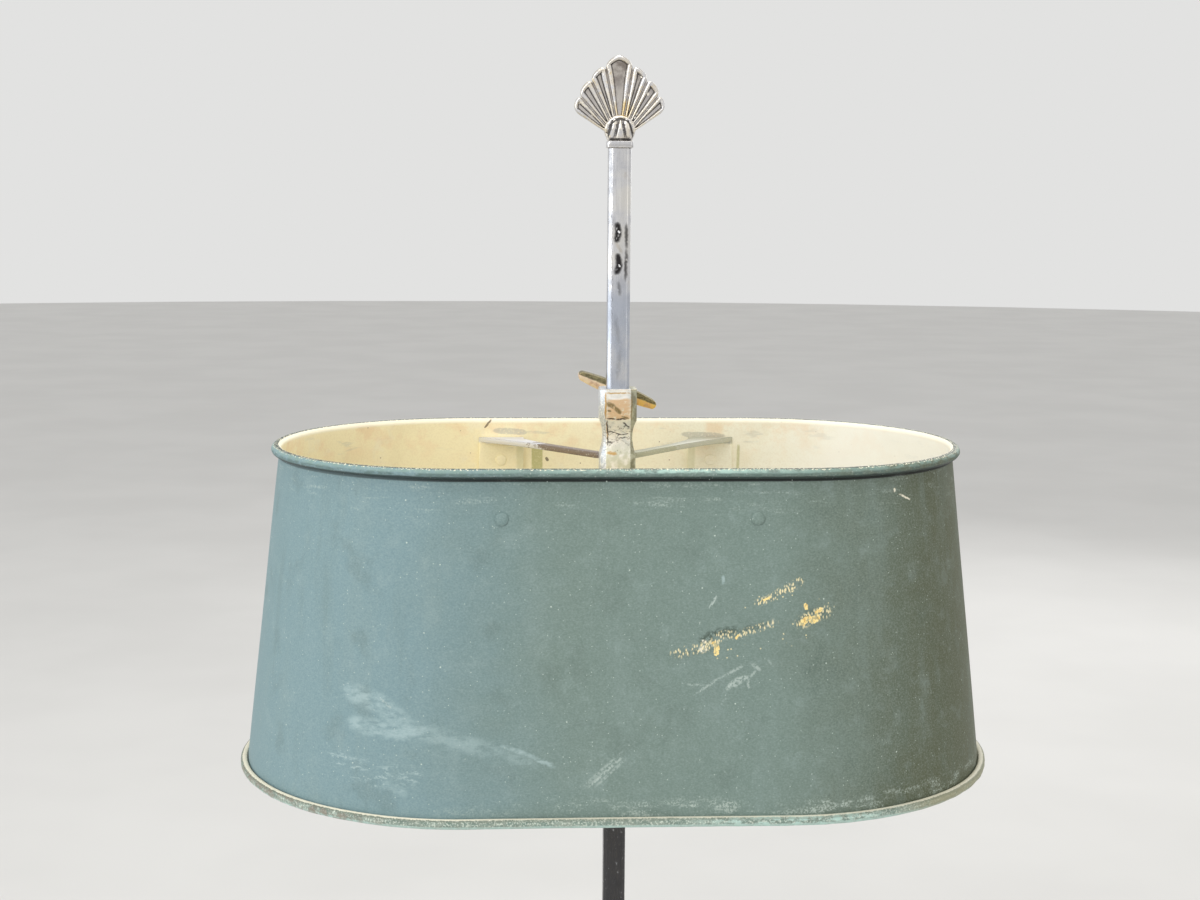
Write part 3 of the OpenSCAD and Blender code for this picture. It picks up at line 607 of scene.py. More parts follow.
def mark_mask(board: Board, plane: Socket, marks: Sequence[Mark], kind: MarkKind) -> Signal:
    """Gathers all strokes of one kind.

    Args:
        board: The board to wire.
        plane: Front view coordinates.
        marks: All marks of the finish.
        kind: The kind that is wanted.

    Returns:
        A mask from 0 to 1.
    """
    mask: Signal = 0.0
    for mark in marks:
        if mark.kind is kind:
            stroke = board.stroke(plane, mark.start, mark.end, mark.width, mark.strength)
            mask = board.strongest(mask, stroke)
    return board.ramp(mask, 0.0, 0.9)


def marks_of(rows: Sequence[tuple]) -> tuple[Mark, ...]:
    """Chains strokes along the points of each row: kind, half width, strength and points.

    Args:
        rows: Kind, half width, strength and points of each chain.

    Returns:
        The strokes.
    """
    return tuple(
        Mark(kind, a, b, width, strength)
        for kind, width, strength, *points in rows
        for a, b in zip(points, points[1:])
    )


# ---- Finishes ----


@dataclass(frozen=True)
class SilverPlate:
    """Silver plate over brass: rubbed on its edges, grey in its hollows, with lines from polishing."""

    name: str
    tarnish: float = 0.5
    rubbed: float = 0.5
    polish_lines: Point = (1.0, 1.0, 0.06)
    level: float = 0.0
    cool: float = 0.0
    painted_shade_below: float = -100.0
    marks: tuple[Mark, ...] = ()

    def material(self) -> Finish:
        """Builds the finish.

        Returns:
            The material.
        """
        board = Board(self.name)
        cloud = board.noise(13, detail=5, rough=0.6)
        fine = board.noise(1.6, detail=4, rough=0.65, shift=5)
        lines = board.noise(0.7, detail=3, stretch=self.polish_lines, shift=11)
        edges = board.times(board.edges(0.7), board.ramp(fine, 0.32, 0.55))
        hollows = board.hollows(4)
        dull = board.strongest(board.ramp(cloud, 0.48, 0.72, high=self.tarnish), board.times(hollows, 0.9))
        dull = board.times(dull, board.ramp(fine, 0.2, 0.6, low=0.7))
        colour = board.mix(board.ramp(cloud, 0.3, 0.7), paint(222, 219, 214), paint(205, 206, 212))
        colour = board.over(colour, (84, 82, 80), dull, 0.85)
        brown = board.times(board.ramp(board.noise(5, shift=21), 0.6, 0.75), self.tarnish, 0.5)
        colour = board.over(colour, (158, 132, 96), brown)
        colour = board.over(colour, (238, 224, 196), edges, self.rubbed)
        rough = board.plus(board.ramp(lines, 0.3, 0.7, low=0.2, high=0.34), board.times(dull, 0.25))
        # painted shade and dark reflection: below the shade's foot the stem is darkened nearly black and
        # made less metallic
        below = board.ramp(board.z, self.painted_shade_below + 6, self.painted_shade_below - 6)
        below = board.times(below, board.ramp(fine, 0.1, 0.4))
        colour = board.over(colour, (34, 33, 35), below, 0.95)
        cool = board.ramp(board.z, self.level + 78, self.level + 62)
        cool = board.times(cool, board.inverse(below), self.cool)
        colour = board.over(colour, (176, 182, 194), cool, board.ramp(cloud, 0.3, 0.6, low=0.5))
        colour, rough = lay_marks(board, self.level, self.marks, colour, rough)
        pits = board.flecks(1.9, 0.3, 0.16, shift=31)
        height = board.less(board.plus(board.times(lines, 0.5), board.times(fine, 0.5)), pits)
        metal = board.less(1.0, board.strongest(board.times(dull, 0.35), board.times(below, 0.5)))
        return board.dress(
            Base_Color=colour, Metallic=metal, Roughness=rough, Normal=board.relief(height, 0.012)
        )


def lay_marks(
    board: Board, level: float, marks: Sequence[Mark], colour: Colour, rough: Signal
) -> tuple[Colour, Signal]:
    """Lays marks over a metal's front.

    Args:
        board: The board to wire.
        level: Height from which the marks are measured.
        marks: The marks.
        colour: Colour below the marks.
        rough: Roughness below the marks.

    Returns:
        The colour and the roughness with the marks.
    """
    if not marks:
        return colour, rough
    plane = board.warped(1.5, 2.2, level)
    front = board.ramp(board.y, -2.5, -3.5)
    for kind in (MarkKind.BARE_BRASS, MarkKind.RUST, MarkKind.OCHRE, MarkKind.TARNISH, MarkKind.PAINTED_GLINT):
        grain = board.ramp(board.noise(kind.grain, detail=3, shift=41), 0.3, 0.42, low=0.2)
        mask = board.times(mark_mask(board, plane, marks, kind), front, grain)
        colour = board.mix(mask, colour, kind.colour)
        rough = board.plus(rough, board.times(mask, 0.12))
    return colour, rough


@dataclass(frozen=True)
class FinialPlate:
    """Silver plate on the cast finial: rubbed crests with a painted highlight, grey fields with painted
    shade toward the top, and grooves painted nearly black as shade.
    """

    foot_z: float
    crest_y: float = 2.0
    bud_h: float = 11.0
    fan_h: float = 37.0

    def material(self) -> Finish:
        """Builds the finish.

        Returns:
            The material.
        """
        board = Board("finial_plate")
        height = board.less(board.z, self.foot_z)
        cloud = board.noise(5, detail=5, rough=0.6)
        fine = board.noise(0.7, detail=4, rough=0.65, shift=5)
        depth = board.less(self.crest_y, board.math("ABSOLUTE", board.y))
        depth = board.plus(depth, board.sway(cloud, 0.5))
        fan = board.ramp(height, self.bud_h - 1.5, self.bud_h + 0.5)
        field_mask = board.times(board.ramp(depth, 0.5, 0.85), fan)
        # painted shade: creases and the bud's recesses are painted nearly black and made less metallic
        groove = board.strongest(board.bend(0.496, 0.472), self.painted_leaf_shade(board, height))
        crest = board.bend(0.505, 0.545)
        # painted shade: the fields grow darker toward the fan's top, under the lobes' rims
        rise = board.ramp(height, self.bud_h, self.fan_h - 4)
        grey = board.mix(rise, paint(194, 190, 188), paint(136, 127, 120))
        grey = board.over(grey, (206, 200, 192), board.ramp(cloud, 0.42, 0.6, high=0.6))
        silver = board.mix(board.ramp(cloud, 0.35, 0.65), paint(222, 214, 202), paint(214, 214, 218))
        gold_place = board.join(board.x, 0.0, height)
        gold = board.ramp(board.vector("DISTANCE", gold_place, (1.6, 0.0, 14.0)), 5.5, 1.5)
        gold = board.times(gold, 0.9)
        gold = board.strongest(gold, board.ramp(board.noise(2.4, shift=9), 0.58, 0.7, high=0.45))
        silver = board.over(silver, (226, 200, 132), gold)
        colour = board.mix(field_mask, silver, grey)
        # bright crests: rubbed high points with a painted highlight
        colour = board.over(colour, (255, 248, 232), crest, board.ramp(fine, 0.2, 0.4, low=0.4), 0.8)
        colour = board.over(colour, (46, 42, 40), groove, 0.92)
        rough = board.plus(board.ramp(fine, 0.3, 0.7, low=0.26, high=0.4), board.times(groove, 0.3))
        metal = board.less(1.0, board.strongest(board.times(groove, 0.7), board.times(field_mask, 0.35)))
        return board.dress(
            Base_Color=colour, Metallic=metal, Roughness=rough, Normal=board.relief(fine, 0.05)
        )

    def painted_leaf_shade(self, board: Board, height: Signal) -> Signal:
        """Draws painted shade in the recesses between the bud's leaves, under its hood and at its foot.

        Args:
            board: The board to wire.
            height: Height above the cap.

        Returns:
            A mask from 0 to 1.
        """
        plane = board.join(board.math("ABSOLUTE", board.less(board.x, 0.2)), 1.0, height)
        under_hood = ((0.0, 9.2), (2.4, 8.9), (4.0, 7.4), (5.0, 4.6), (5.4, 2.2))
        mask: Signal = board.stroke(plane, (0.9, 8.8), (2.2, 2.2), 0.42, 1.0)
        mask = board.strongest(mask, board.stroke(plane, (3.6, 7.6), (5.4, 1.6), 0.3, 1.0))
        for start, end in zip(under_hood, under_hood[1:]):
            mask = board.strongest(mask, board.stroke(plane, start, end, 0.45, 1.0))
        mask = board.strongest(mask, board.stroke(plane, (0.0, 0.9), (4.6, 0.7), 0.6, 1.0))
        return board.times(board.ramp(mask, 0.0, 0.7), board.ramp(height, 11, 10))


@dataclass(frozen=True)
class ClampPlate:
    """Plate on the clamp, worn through to tan brass, cracked, with gold and olive edges, painted light on
    its left side and painted shade on its right.
    """

    level: float
    marks: tuple[Mark, ...]
    half_face: float = 5.4

    def material(self) -> Finish:
        """Builds the finish.

        Returns:
            The material.
        """
        board = Board("clamp_plate")
        height = board.less(board.z, self.level)
        fine = board.noise(0.8, detail=4, rough=0.7, shift=5)
        cloud = board.noise(4, detail=5, rough=0.6)
        colour = board.mix(board.ramp(cloud, 0.38, 0.62), paint(248, 244, 234), paint(228, 228, 222))
        low = board.times(board.ramp(height, 4, -3), board.ramp(cloud, 0.35, 0.55))
        colour = board.over(colour, (206, 204, 168), low, 0.6)
        # painted light and shade: the left side faces are painted a lit bluish white, the right side faces a
        # shaded olive
        side = board.plus(board.x, board.sway(fine, 0.8))
        left = board.ramp(side, -self.half_face + 0.2, -self.half_face - 0.3)
        right = board.ramp(side, self.half_face - 0.2, self.half_face + 0.3)
        bright = board.mix(board.ramp(fine, 0.45, 0.6), paint(196, 204, 214), paint(246, 248, 250))
        colour = board.mix(board.times(left, 0.9), colour, bright)
        olive = board.mix(board.ramp(cloud, 0.4, 0.6), paint(176, 176, 150), paint(120, 116, 88))
        colour = board.mix(board.times(right, 0.85), colour, olive)
        edge = board.times(board.edges(0.8, 0.99, 0.9), board.ramp(fine, 0.3, 0.5))
        edge_colour = board.mix(board.ramp(cloud, 0.4, 0.6), paint(206, 160, 92), paint(110, 96, 58))
        colour = board.mix(board.times(edge, 0.8), colour, edge_colour)
        cracks = board.noise(3.6, detail=4, rough=0.6, stretch=(0.7, 1.0, 1.5), shift=15)
        cracks = board.ramp(board.math("ABSOLUTE", board.less(cracks, 0.5)), 0.02, 0.006)
        waist = board.band(height, -2, 11, 1.2)
        cracks = board.times(cracks, waist, board.ramp(board.noise(5, shift=25), 0.46, 0.54))
        colour = board.over(colour, (92, 78, 50), cracks, 0.85)
        rough: Signal = board.ramp(fine, 0.3, 0.7, low=0.3, high=0.48)
        colour, rough = lay_marks(board, self.level, self.marks, colour, rough)
        metal = board.less(0.7, board.times(board.strongest(edge, cracks), 0.5))
        relief = board.relief(board.less(fine, board.times(cracks, 0.8)), 0.06)
        return board.dress(Base_Color=colour, Metallic=metal, Roughness=rough, Normal=relief)


@dataclass(frozen=True)
class OldBrass:
    """Aged brass: golden where hands rub it, with an olive and brown skin on top and in hollows."""

    name: str = "old_brass"
    patina: float = 0.6
    wing_z: float = 0.0
    wing_tilt: float = 0.0

    def material(self) -> Finish:
        """Builds the finish.

        Returns:
            The material.
        """
        board = Board(self.name)
        cloud = board.noise(7, detail=5, rough=0.62)
        fine = board.noise(1.1, detail=4, shift=3)
        skin = board.strongest(board.facing_up(), board.hollows(3, stop=0.4))
        skin = board.strongest(skin, board.ramp(cloud, 0.55, 0.75))
        skin = board.times(skin, board.ramp(fine, 0.25, 0.55, low=0.55), self.patina)
        if self.wing_z:
            skin = board.strongest(skin, self.wing_top(board, cloud))
        colour = board.mix(board.ramp(fine, 0.3, 0.7), paint(226, 182, 108), paint(242, 206, 142))
        colour = board.over(colour, (196, 140, 96), board.ramp(cloud, 0.3, 0.65, high=0.35))
        if self.wing_z:
            rubbed = board.mix(board.ramp(board.x, -9, 2), paint(255, 236, 208), paint(246, 208, 122))
            rubbed = board.over(rubbed, (226, 178, 150), board.ramp(cloud, 0.5, 0.62, high=0.6))
            colour = board.mix(0.9, colour, rubbed)
        dark = board.mix(board.ramp(fine, 0.4, 0.6), paint(84, 80, 52), paint(134, 128, 92))
        colour = board.mix(skin, colour, dark)
        colour = board.over(colour, (250, 226, 168), board.edges(0.6), 0.6)
        specks = board.flecks(2.3, 0.25, 0.2, shift=9)
        colour = board.over(colour, (60, 48, 36), specks, 0.7)
        rough = board.plus(board.ramp(fine, 0.3, 0.7, low=0.28, high=0.42), board.times(skin, 0.25))
        metal = board.inverse(board.times(skin, 0.55))
        height = board.plus(board.times(fine, 0.6), board.times(cloud, 0.8))
        return board.dress(
            Base_Color=colour, Metallic=metal, Roughness=rough, Normal=board.relief(height, 0.03)
        )

    def wing_top(self, board: Board, cloud: Signal) -> Signal:
        """Finds the key's upper side, where the patina is thick.

        Args:
            board: The board to wire.
            cloud: Noise that makes the border uneven.

        Returns:
            A mask from 0 to 1.
        """
        tilt = math.radians(self.wing_tilt)
        plane = board.join(board.x, 0.0, board.less(board.z, self.wing_z))
        up = board.vector("DOT_PRODUCT", plane, (math.sin(tilt), 0.0, math.cos(tilt)))
        up = board.plus(up, board.sway(cloud, 2.2))
        return board.ramp(up, 0.5, 1.1, high=0.95)


def shade_marks() -> tuple[Mark, ...]:
    """Lists the marks on the shade's front, in x and in height from the top bead.

    Returns:
        The scuffs, scratches and rests of gilding.
    """
    return marks_of([
        # Broad pale scuff low on the left, thin and bright at its right end
        (MarkKind.SCUFF, 5.5, 0.8, (-113, -90.5), (-101, -94), (-92, -101)),
        (MarkKind.SCUFF, 4.6, 0.9, (-112, -103), (-98, -104.5), (-84, -104)),
        (MarkKind.SCUFF, 5.2, 0.55, (-92, -102), (-74, -106.5), (-58, -111)),
        (MarkKind.SCUFF, 3.6, 0.45, (-66, -108), (-50, -113), (-40, -117)),
        (MarkKind.SCUFF, 1.3, 0.9, (-52, -109.5), (-42, -113), (-31, -118)),
        (MarkKind.SCRATCH, 0.7, 0.7, (-101, -92), (-97, -95)),
        # Faint curls under the scuff
        (MarkKind.CURLS, 7.0, 0.9, (-119, -118), (-104, -124), (-88, -122)),
        (MarkKind.SCUFF, 3.0, 0.45, (-98, -126), (-92, -129)),
        # Slanting scratches low in the middle
        *(
            (MarkKind.SCRATCH, 0.9, strength, (x, -127), (x + 0.85 * length, -126 + 0.7 * length))
            for x, length, strength in ((-20, 21, 0.5), (-17.5, 18, 0.7), (-15, 16, 0.5), (-18.5, 12, 0.4))
        ),
        # Scratches under the gilding
        (MarkKind.SCRATCH, 0.8, 0.5, (23, -85.3), (30, -85.6)),
        (MarkKind.SCRATCH, 0.9, 0.6, (28, -88), (37, -82.5), (46.5, -77.6)),
        (MarkKind.SCRATCH, 1.3, 0.8, (39.5, -87), (43, -83.5), (47.5, -82.6)),
        (MarkKind.SCRATCH, 1.2, 0.8, (42, -86.2), (46, -83.4)),
        (MarkKind.SCRATCH, 0.8, 0.6, (48.3, -87), (47.8, -83.4), (51, -80.2)),
        (MarkKind.SCRATCH, 1.2, 0.6, (50, -77.4), (52.6, -79.4)),
        (MarkKind.SCRATCH, 0.7, 0.35, (25, -90), (32, -86)),
        (MarkKind.SCRATCH, 0.7, 0.4, (37, -93.5), (39, -91)),
        (MarkKind.SCRATCH, 0.7, 0.4, (56, -75.5), (58, -78)),
        # Short tick, pale oval and a nick far right
        (MarkKind.SCRATCH, 0.75, 0.9, (32.2, -54.3), (35, -49.8)),
        (MarkKind.SCUFF, 1.0, 0.9, (37.7, -44.3), (37.7, -42)),
        (MarkKind.CHALK, 0.6, 1.0, (110.6, -8.6), (110.8, -9.4)),
        (MarkKind.CHALK, 0.55, 0.9, (113, -10.8), (118.5, -13.8)),
        # Rests of gilding: a hatched band above, a cluster on the right, a long band below
        (MarkKind.SMUDGE, 1.3, 0.35, (51, -53), (60.5, -49), (69, -45)),
        (MarkKind.HATCH, 1.9, 1.0, (51.6, -52.6), (56, -51), (60.6, -48.4)),
        (MarkKind.HATCH, 2.3, 1.0, (60.6, -48.4), (65, -46.6), (69, -44)),
        (MarkKind.GILDING, 0.7, 0.7, (53, -52), (58, -49.8)),
        (MarkKind.GILDING, 1.1, 1.0, (71.6, -53.6), (71.9, -54.6)),
        (MarkKind.GILDING, 1.5, 1.0, (69.8, -61), (71, -60), (72.6, -58.6)),
        (MarkKind.GILDING, 1.9, 1.0, (74.6, -59.6), (76, -59)),
        (MarkKind.GILDING, 1.1, 1.0, (75.8, -57), (77.8, -55.4)),
        (MarkKind.HATCH, 3.4, 1.0, (70, -60.5), (75, -58), (79.5, -56.5)),
        (MarkKind.SMUDGE, 3.0, 0.4, (69, -60.5), (74, -56), (79, -57.5)),
        (MarkKind.GILDING, 1.35, 1.0, (35.0, -72.8), (35.3, -70.6), (34.2, -68.8)),
        (MarkKind.GILDING, 0.8, 0.8, (43.2, -66.6), (44.2, -65.6)),
        (MarkKind.HATCH, 2.6, 1.0, (18, -72.6), (26, -71.2), (33, -69.6)),
        (MarkKind.HATCH, 2.3, 1.0, (33, -69.4), (37, -65.4), (42.5, -65.4)),
        (MarkKind.HATCH, 2.0, 1.0, (42.5, -65.4), (50, -63.4), (59, -60.6)),
        (MarkKind.CHALK, 1.2, 0.8, (28.6, -71.2), (30.4, -71.2)),
        (MarkKind.CHALK, 1.2, 1.0, (29.4, -71.6), (30, -70.4)),
        (MarkKind.CHALK, 0.9, 1.0, (29.8, -67.9), (30.4, -67.9)),
        (MarkKind.CHALK, 0.8, 0.4, (54, -62.4), (58, -61), (58.4, -59)),
        # Loose chips round them
        (MarkKind.DOTS, 7.5, 1.0, (66, -64), (78, -57)),
        (MarkKind.DOTS, 3.6, 0.8, (17, -73), (60, -72)),
        (MarkKind.DOTS, 4.5, 0.8, (46, -54), (70, -47)),
        (MarkKind.SMUDGE, 2.6, 0.75, (29, -67.5), (36, -64.4), (42, -63.6)),
        (MarkKind.SMUDGE, 2.0, 0.5, (42, -64.6), (57, -60.6)),
        (MarkKind.SMUDGE, 2.0, 0.4, (18, -73.4), (34, -71)),
    ])


@dataclass(frozen=True)
class TolePaint:
    """Old chalky grey-green paint on sheet iron, with painted light that makes it bluer to the left and
    painted shade that makes it olive to the right.
    """

    name: str
    rim_z: float
    foot_z: float
    bead: bool = False
    marks: tuple[Mark, ...] = ()

    def material(self) -> Finish:
        """Builds the finish.

        Returns:
            The material.
        """
        board = Board(self.name)
        colour = self.ground(board)
        fine = board.noise(0.8, detail=3, rough=0.6, shift=2)
        broad = board.noise(26, detail=5, rough=0.55, shift=4)
        bloom = board.ramp(board.noise(11, detail=6, rough=0.68, shift=6), 0.5, 0.72)
        colour = board.over(colour, (162, 180, 178), bloom, 0.16)
        stain = board.ramp(board.noise(17, detail=6, shift=13), 0.55, 0.7, high=0.2)
        colour = board.over(colour, (78, 95, 86), stain)
        colour = board.over(colour, (176, 190, 184), board.ramp(fine, 0.35, 0.75, high=0.16))
        colour = board.over(colour, (72, 88, 84), board.ramp(fine, 0.45, 0.2, high=0.16))
        weave = board.noise(0.45, detail=2, stretch=(0.5, 0.5, 1.0), shift=33)
        colour = board.over(colour, (190, 204, 200), board.ramp(weave, 0.48, 0.74, high=0.12))
        colour = board.over(colour, (66, 84, 78), board.ramp(weave, 0.48, 0.26, high=0.1))
        if not self.bead:
            # painted shadow: a dark band on the wall under the top bead, darker to the right
            gap = board.band(board.less(self.rim_z, board.z), 0.8, 3.4, 0.25)
            gap = board.times(gap, board.ramp(board.x, -130, -50, low=0.55, high=0.95))
            colour = board.over(colour, (18, 24, 22), gap)
        worn = self.worn(board, fine)
        colour = board.over(colour, (204, 216, 206), worn)
        colour, rough, gilded = self.marked(board, colour)
        if self.bead:
            colour = self.bead_colour(board, colour, fine)
        rough = board.plus(rough, board.ramp(fine, 0.3, 0.7, high=0.08))
        height = board.plus(board.times(board.noise(1.3, detail=4, shift=8), 0.5), broad)
        height = board.less(height, board.times(worn, 0.25))
        return board.dress(
            Base_Color=colour,
            Roughness=rough,
            Metallic=board.times(gilded, 0.35) if self.marks else 0.0,
            Normal=board.relief(height, 0.05),
            Specular_IOR_Level=0.35,
        )

    def ground(self, board: Board) -> Colour:
        """Mixes the paint's colour with painted light: lit bluer to the left, painted shade in dark olive to
        the right, and drips.

        Args:
            board: The board to wire.

        Returns:
            The colour.
        """
        sway = board.sway(board.noise(45, detail=3, shift=1), 60.0)
        across = board.plus(board.x, sway)
        # painted light to the left and painted shade to the right
        cool = board.ramp(across, -15, -100)
        warm = board.ramp(across, 45, 150)
        colour = board.mix(cool, paint(113, 132, 124), paint(119, 146, 151))
        colour = board.over(colour, (79, 83, 55), warm)
        drips = board.noise(16, detail=4, rough=0.6, stretch=(1.0, 1.0, 0.12), shift=19)
        colour = board.over(colour, (90, 108, 98), board.ramp(drips, 0.52, 0.72, high=0.2))
        return board.over(colour, (134, 152, 148), board.ramp(drips, 0.46, 0.3, high=0.16))

    def worn(self, board: Board, fine: Signal) -> Signal:
        """Finds where the paint is scuffed pale: specks all over and lines under the top bead.

        Args:
            board: The board to wire.
            fine: Fine noise that breaks the wear up.

        Returns:
            A mask from 0 to 1.
        """
        specks = board.flecks(7.5, 0.5, 0.055, shift=17)
        dots = board.flecks(2.2, 0.45, 0.13, shift=23)
        level = board.less(self.rim_z, board.z)
        lines = board.noise(2.2, detail=3, stretch=(0.14, 0.14, 1.0), shift=27)
        lines = board.times(board.ramp(lines, 0.55, 0.72, high=0.6), board.band(level, 3, 16, 3))
        rub = board.noise(5.5, detail=5, rough=0.72, stretch=(0.35, 0.35, 1.0), shift=63)
        low = board.band(board.less(board.z, self.foot_z), 1.5, 8.5, 2.0)
        rub = board.times(board.ramp(rub, 0.46, 0.62), low, board.ramp(board.x, -90, -40))
        lines = board.times(board.strongest(lines, rub), board.ramp(fine, 0.46, 0.58, low=0.15))
        marks = board.strongest(specks, board.times(dots, 0.75), board.times(lines, 0.6))
        return board.times(marks, board.ramp(fine, 0.2, 0.5, low=0.5), 0.85)

    def marked(self, board: Board, colour: Colour) -> tuple[Colour, Signal, Signal]:
        """Lays the marks of use over the paint's front.

        Args:
            board: The board to wire.
            colour: Colour below the marks.

        Returns:
            The colour, the roughness and a mask of the gilding.
        """
        if not self.marks:
            return colour, 0.5, 0.0
        front = board.ramp(board.y, 0.0, -4.0)
        plane = board.warped(2.2, 3.0, self.rim_z)
        crisp = board.warped(0.7, 1.2, self.rim_z)
        grain = board.ramp(board.noise(0.9, detail=3, shift=47), 0.36, 0.56)
        streaks = board.noise(2.6, detail=5, rough=0.7, stretch=(0.4, 0.4, 1.0), shift=43)
        streaks = board.ramp(streaks, 0.3, 0.62)
        hatch = board.flecks(0.95, 0.8, 0.72, stretch=(1.15, 0.25, 0.6), shift=51)
        curl = board.noise(2.4, detail=4, rough=0.75, stretch=(0.45, 0.45, 1.2), shift=57)
        breaks = {
            MarkKind.SCUFF: streaks,
            MarkKind.SCRATCH: grain,
            MarkKind.CURLS: board.times(board.ramp(curl, 0.52, 0.62), streaks),
            MarkKind.SMUDGE: grain,
            MarkKind.CHALK: board.ramp(hatch, 0.1, 0.5, low=0.25),
            MarkKind.HATCH: board.flecks(0.95, 0.85, 0.56, stretch=(1.25, 0.25, 0.6), shift=67),
            MarkKind.DOTS: board.flecks(1.9, 0.5, 0.22, stretch=(1.0, 0.3, 1.0), shift=59),
        }
        covers = {MarkKind.SCUFF: 0.56, MarkKind.SCRATCH: 0.8, MarkKind.CURLS: 0.5, MarkKind.HATCH: 0.95}
        for kind, breaker in breaks.items():
            place = plane if kind in (MarkKind.SCUFF, MarkKind.SMUDGE) else crisp
            mask = board.times(mark_mask(board, place, self.marks, kind), breaker)
            mask = board.times(mask, front, covers.get(kind, 1.0))
            colour = board.mix(mask, colour, kind.colour)
        gilding = board.times(mark_mask(board, crisp, self.marks, MarkKind.GILDING), front)
        gilding = board.ramp(board.times(gilding, board.ramp(hatch, 0.05, 0.5, low=0.3)), 0.2, 0.42)
        ochre = board.ramp(board.noise(1.4, shift=53), 0.35, 0.55)
        gold = board.mix(ochre, paint(222, 184, 112), MarkKind.GILDING.colour)
        colour = board.mix(gilding, colour, gold)
        return colour, board.less(0.52, board.times(gilding, 0.12)), gilding

    def bead_colour(self, board: Board, colour: Colour, fine: Signal) -> Colour:
        """Wears the paint off the rolled beads.

        Args:
            board: The board to wire.
            colour: Colour below the wear.
            fine: Fine noise that breaks the wear up.

        Returns:
            The colour of the bead.
        """
        chipped = board.noise(2.6, detail=5, rough=0.7, stretch=(0.45, 0.45, 1.0), shift=61)
        shaken = board.sway(chipped, 1.6)
        above = board.plus(board.less(board.z, self.rim_z), shaken)
        pale = board.times(board.ramp(above, 0.1, 1.0), board.ramp(chipped, 0.36, 0.55))
        spread = board.plus(0.3, board.times(board.band(board.x, -15, 55, 35), 0.7))
        spread = board.strongest(spread, board.ramp(board.y, 20, 40))
        pale = board.times(pale, spread)
        upper = board.over(colour, (84, 106, 100), board.ramp(chipped, 0.4, 0.6, high=0.7))
        # painted shade on the lower half of the top bead
        upper = board.over(upper, (34, 44, 42), board.ramp(above, -0.6, -1.4, high=0.85))
        upper = board.over(upper, (176, 206, 194), pale, 0.9)
        crest = board.plus(board.less(board.z, self.rim_z), board.sway(fine, 0.5))
        upper = board.over(upper, (34, 42, 38), board.ramp(crest, 1.8, 2.0, high=0.85))
        flake = board.times(board.ramp(crest, 1.5, 1.7), board.ramp(fine, 0.53, 0.6))
        upper = board.over(upper, (238, 234, 206), flake)
        level = board.plus(board.less(board.z, self.foot_z), board.times(shaken, 0.7))
        lower = board.mix(board.ramp(chipped, 0.4, 0.6), paint(118, 138, 128), paint(146, 160, 148))
        lower = board.over(lower, (212, 222, 208), board.ramp(fine, 0.5, 0.6, high=0.7))
        lower = board.over(lower, (184, 212, 204), board.ramp(level, -0.3, -1.0, high=0.8))
        rust = board.ramp(board.noise(4, detail=5, rough=0.7, shift=71), 0.42, 0.6)
        rust = board.times(rust, board.ramp(board.x, -90, -125, low=0.2), 0.7)
        lower = board.over(lower, (138, 122, 108), rust)
        tan = board.times(board.ramp(board.x, 105, 135), board.ramp(chipped, 0.3, 0.5, low=0.4), 0.8)
        lower = board.over(lower, (158, 154, 124), tan)
        cyan = board.times(board.band(board.x, 35, 105, 20), board.ramp(chipped, 0.45, 0.56), 0.85)
        lower = board.over(lower, (186, 216, 206), cyan)
        lower = board.over(lower, (96, 100, 84), board.ramp(level, 1.3, 1.5, high=0.5))
        crest = board.plus(board.less(board.z, self.foot_z), board.sway(fine, 0.5))
        crest = board.times(board.ramp(crest, 1.84, 2.0), board.ramp(board.x, -90, -20, low=0.95, high=0.6))
        lower = board.over(lower, (230, 224, 202), crest)
        colour = board.mix(board.ramp(board.z, self.rim_z - 20, self.rim_z - 10), lower, upper)
        return board.over(colour, (236, 240, 228), board.ramp(fine, 0.62, 0.8, high=0.5))


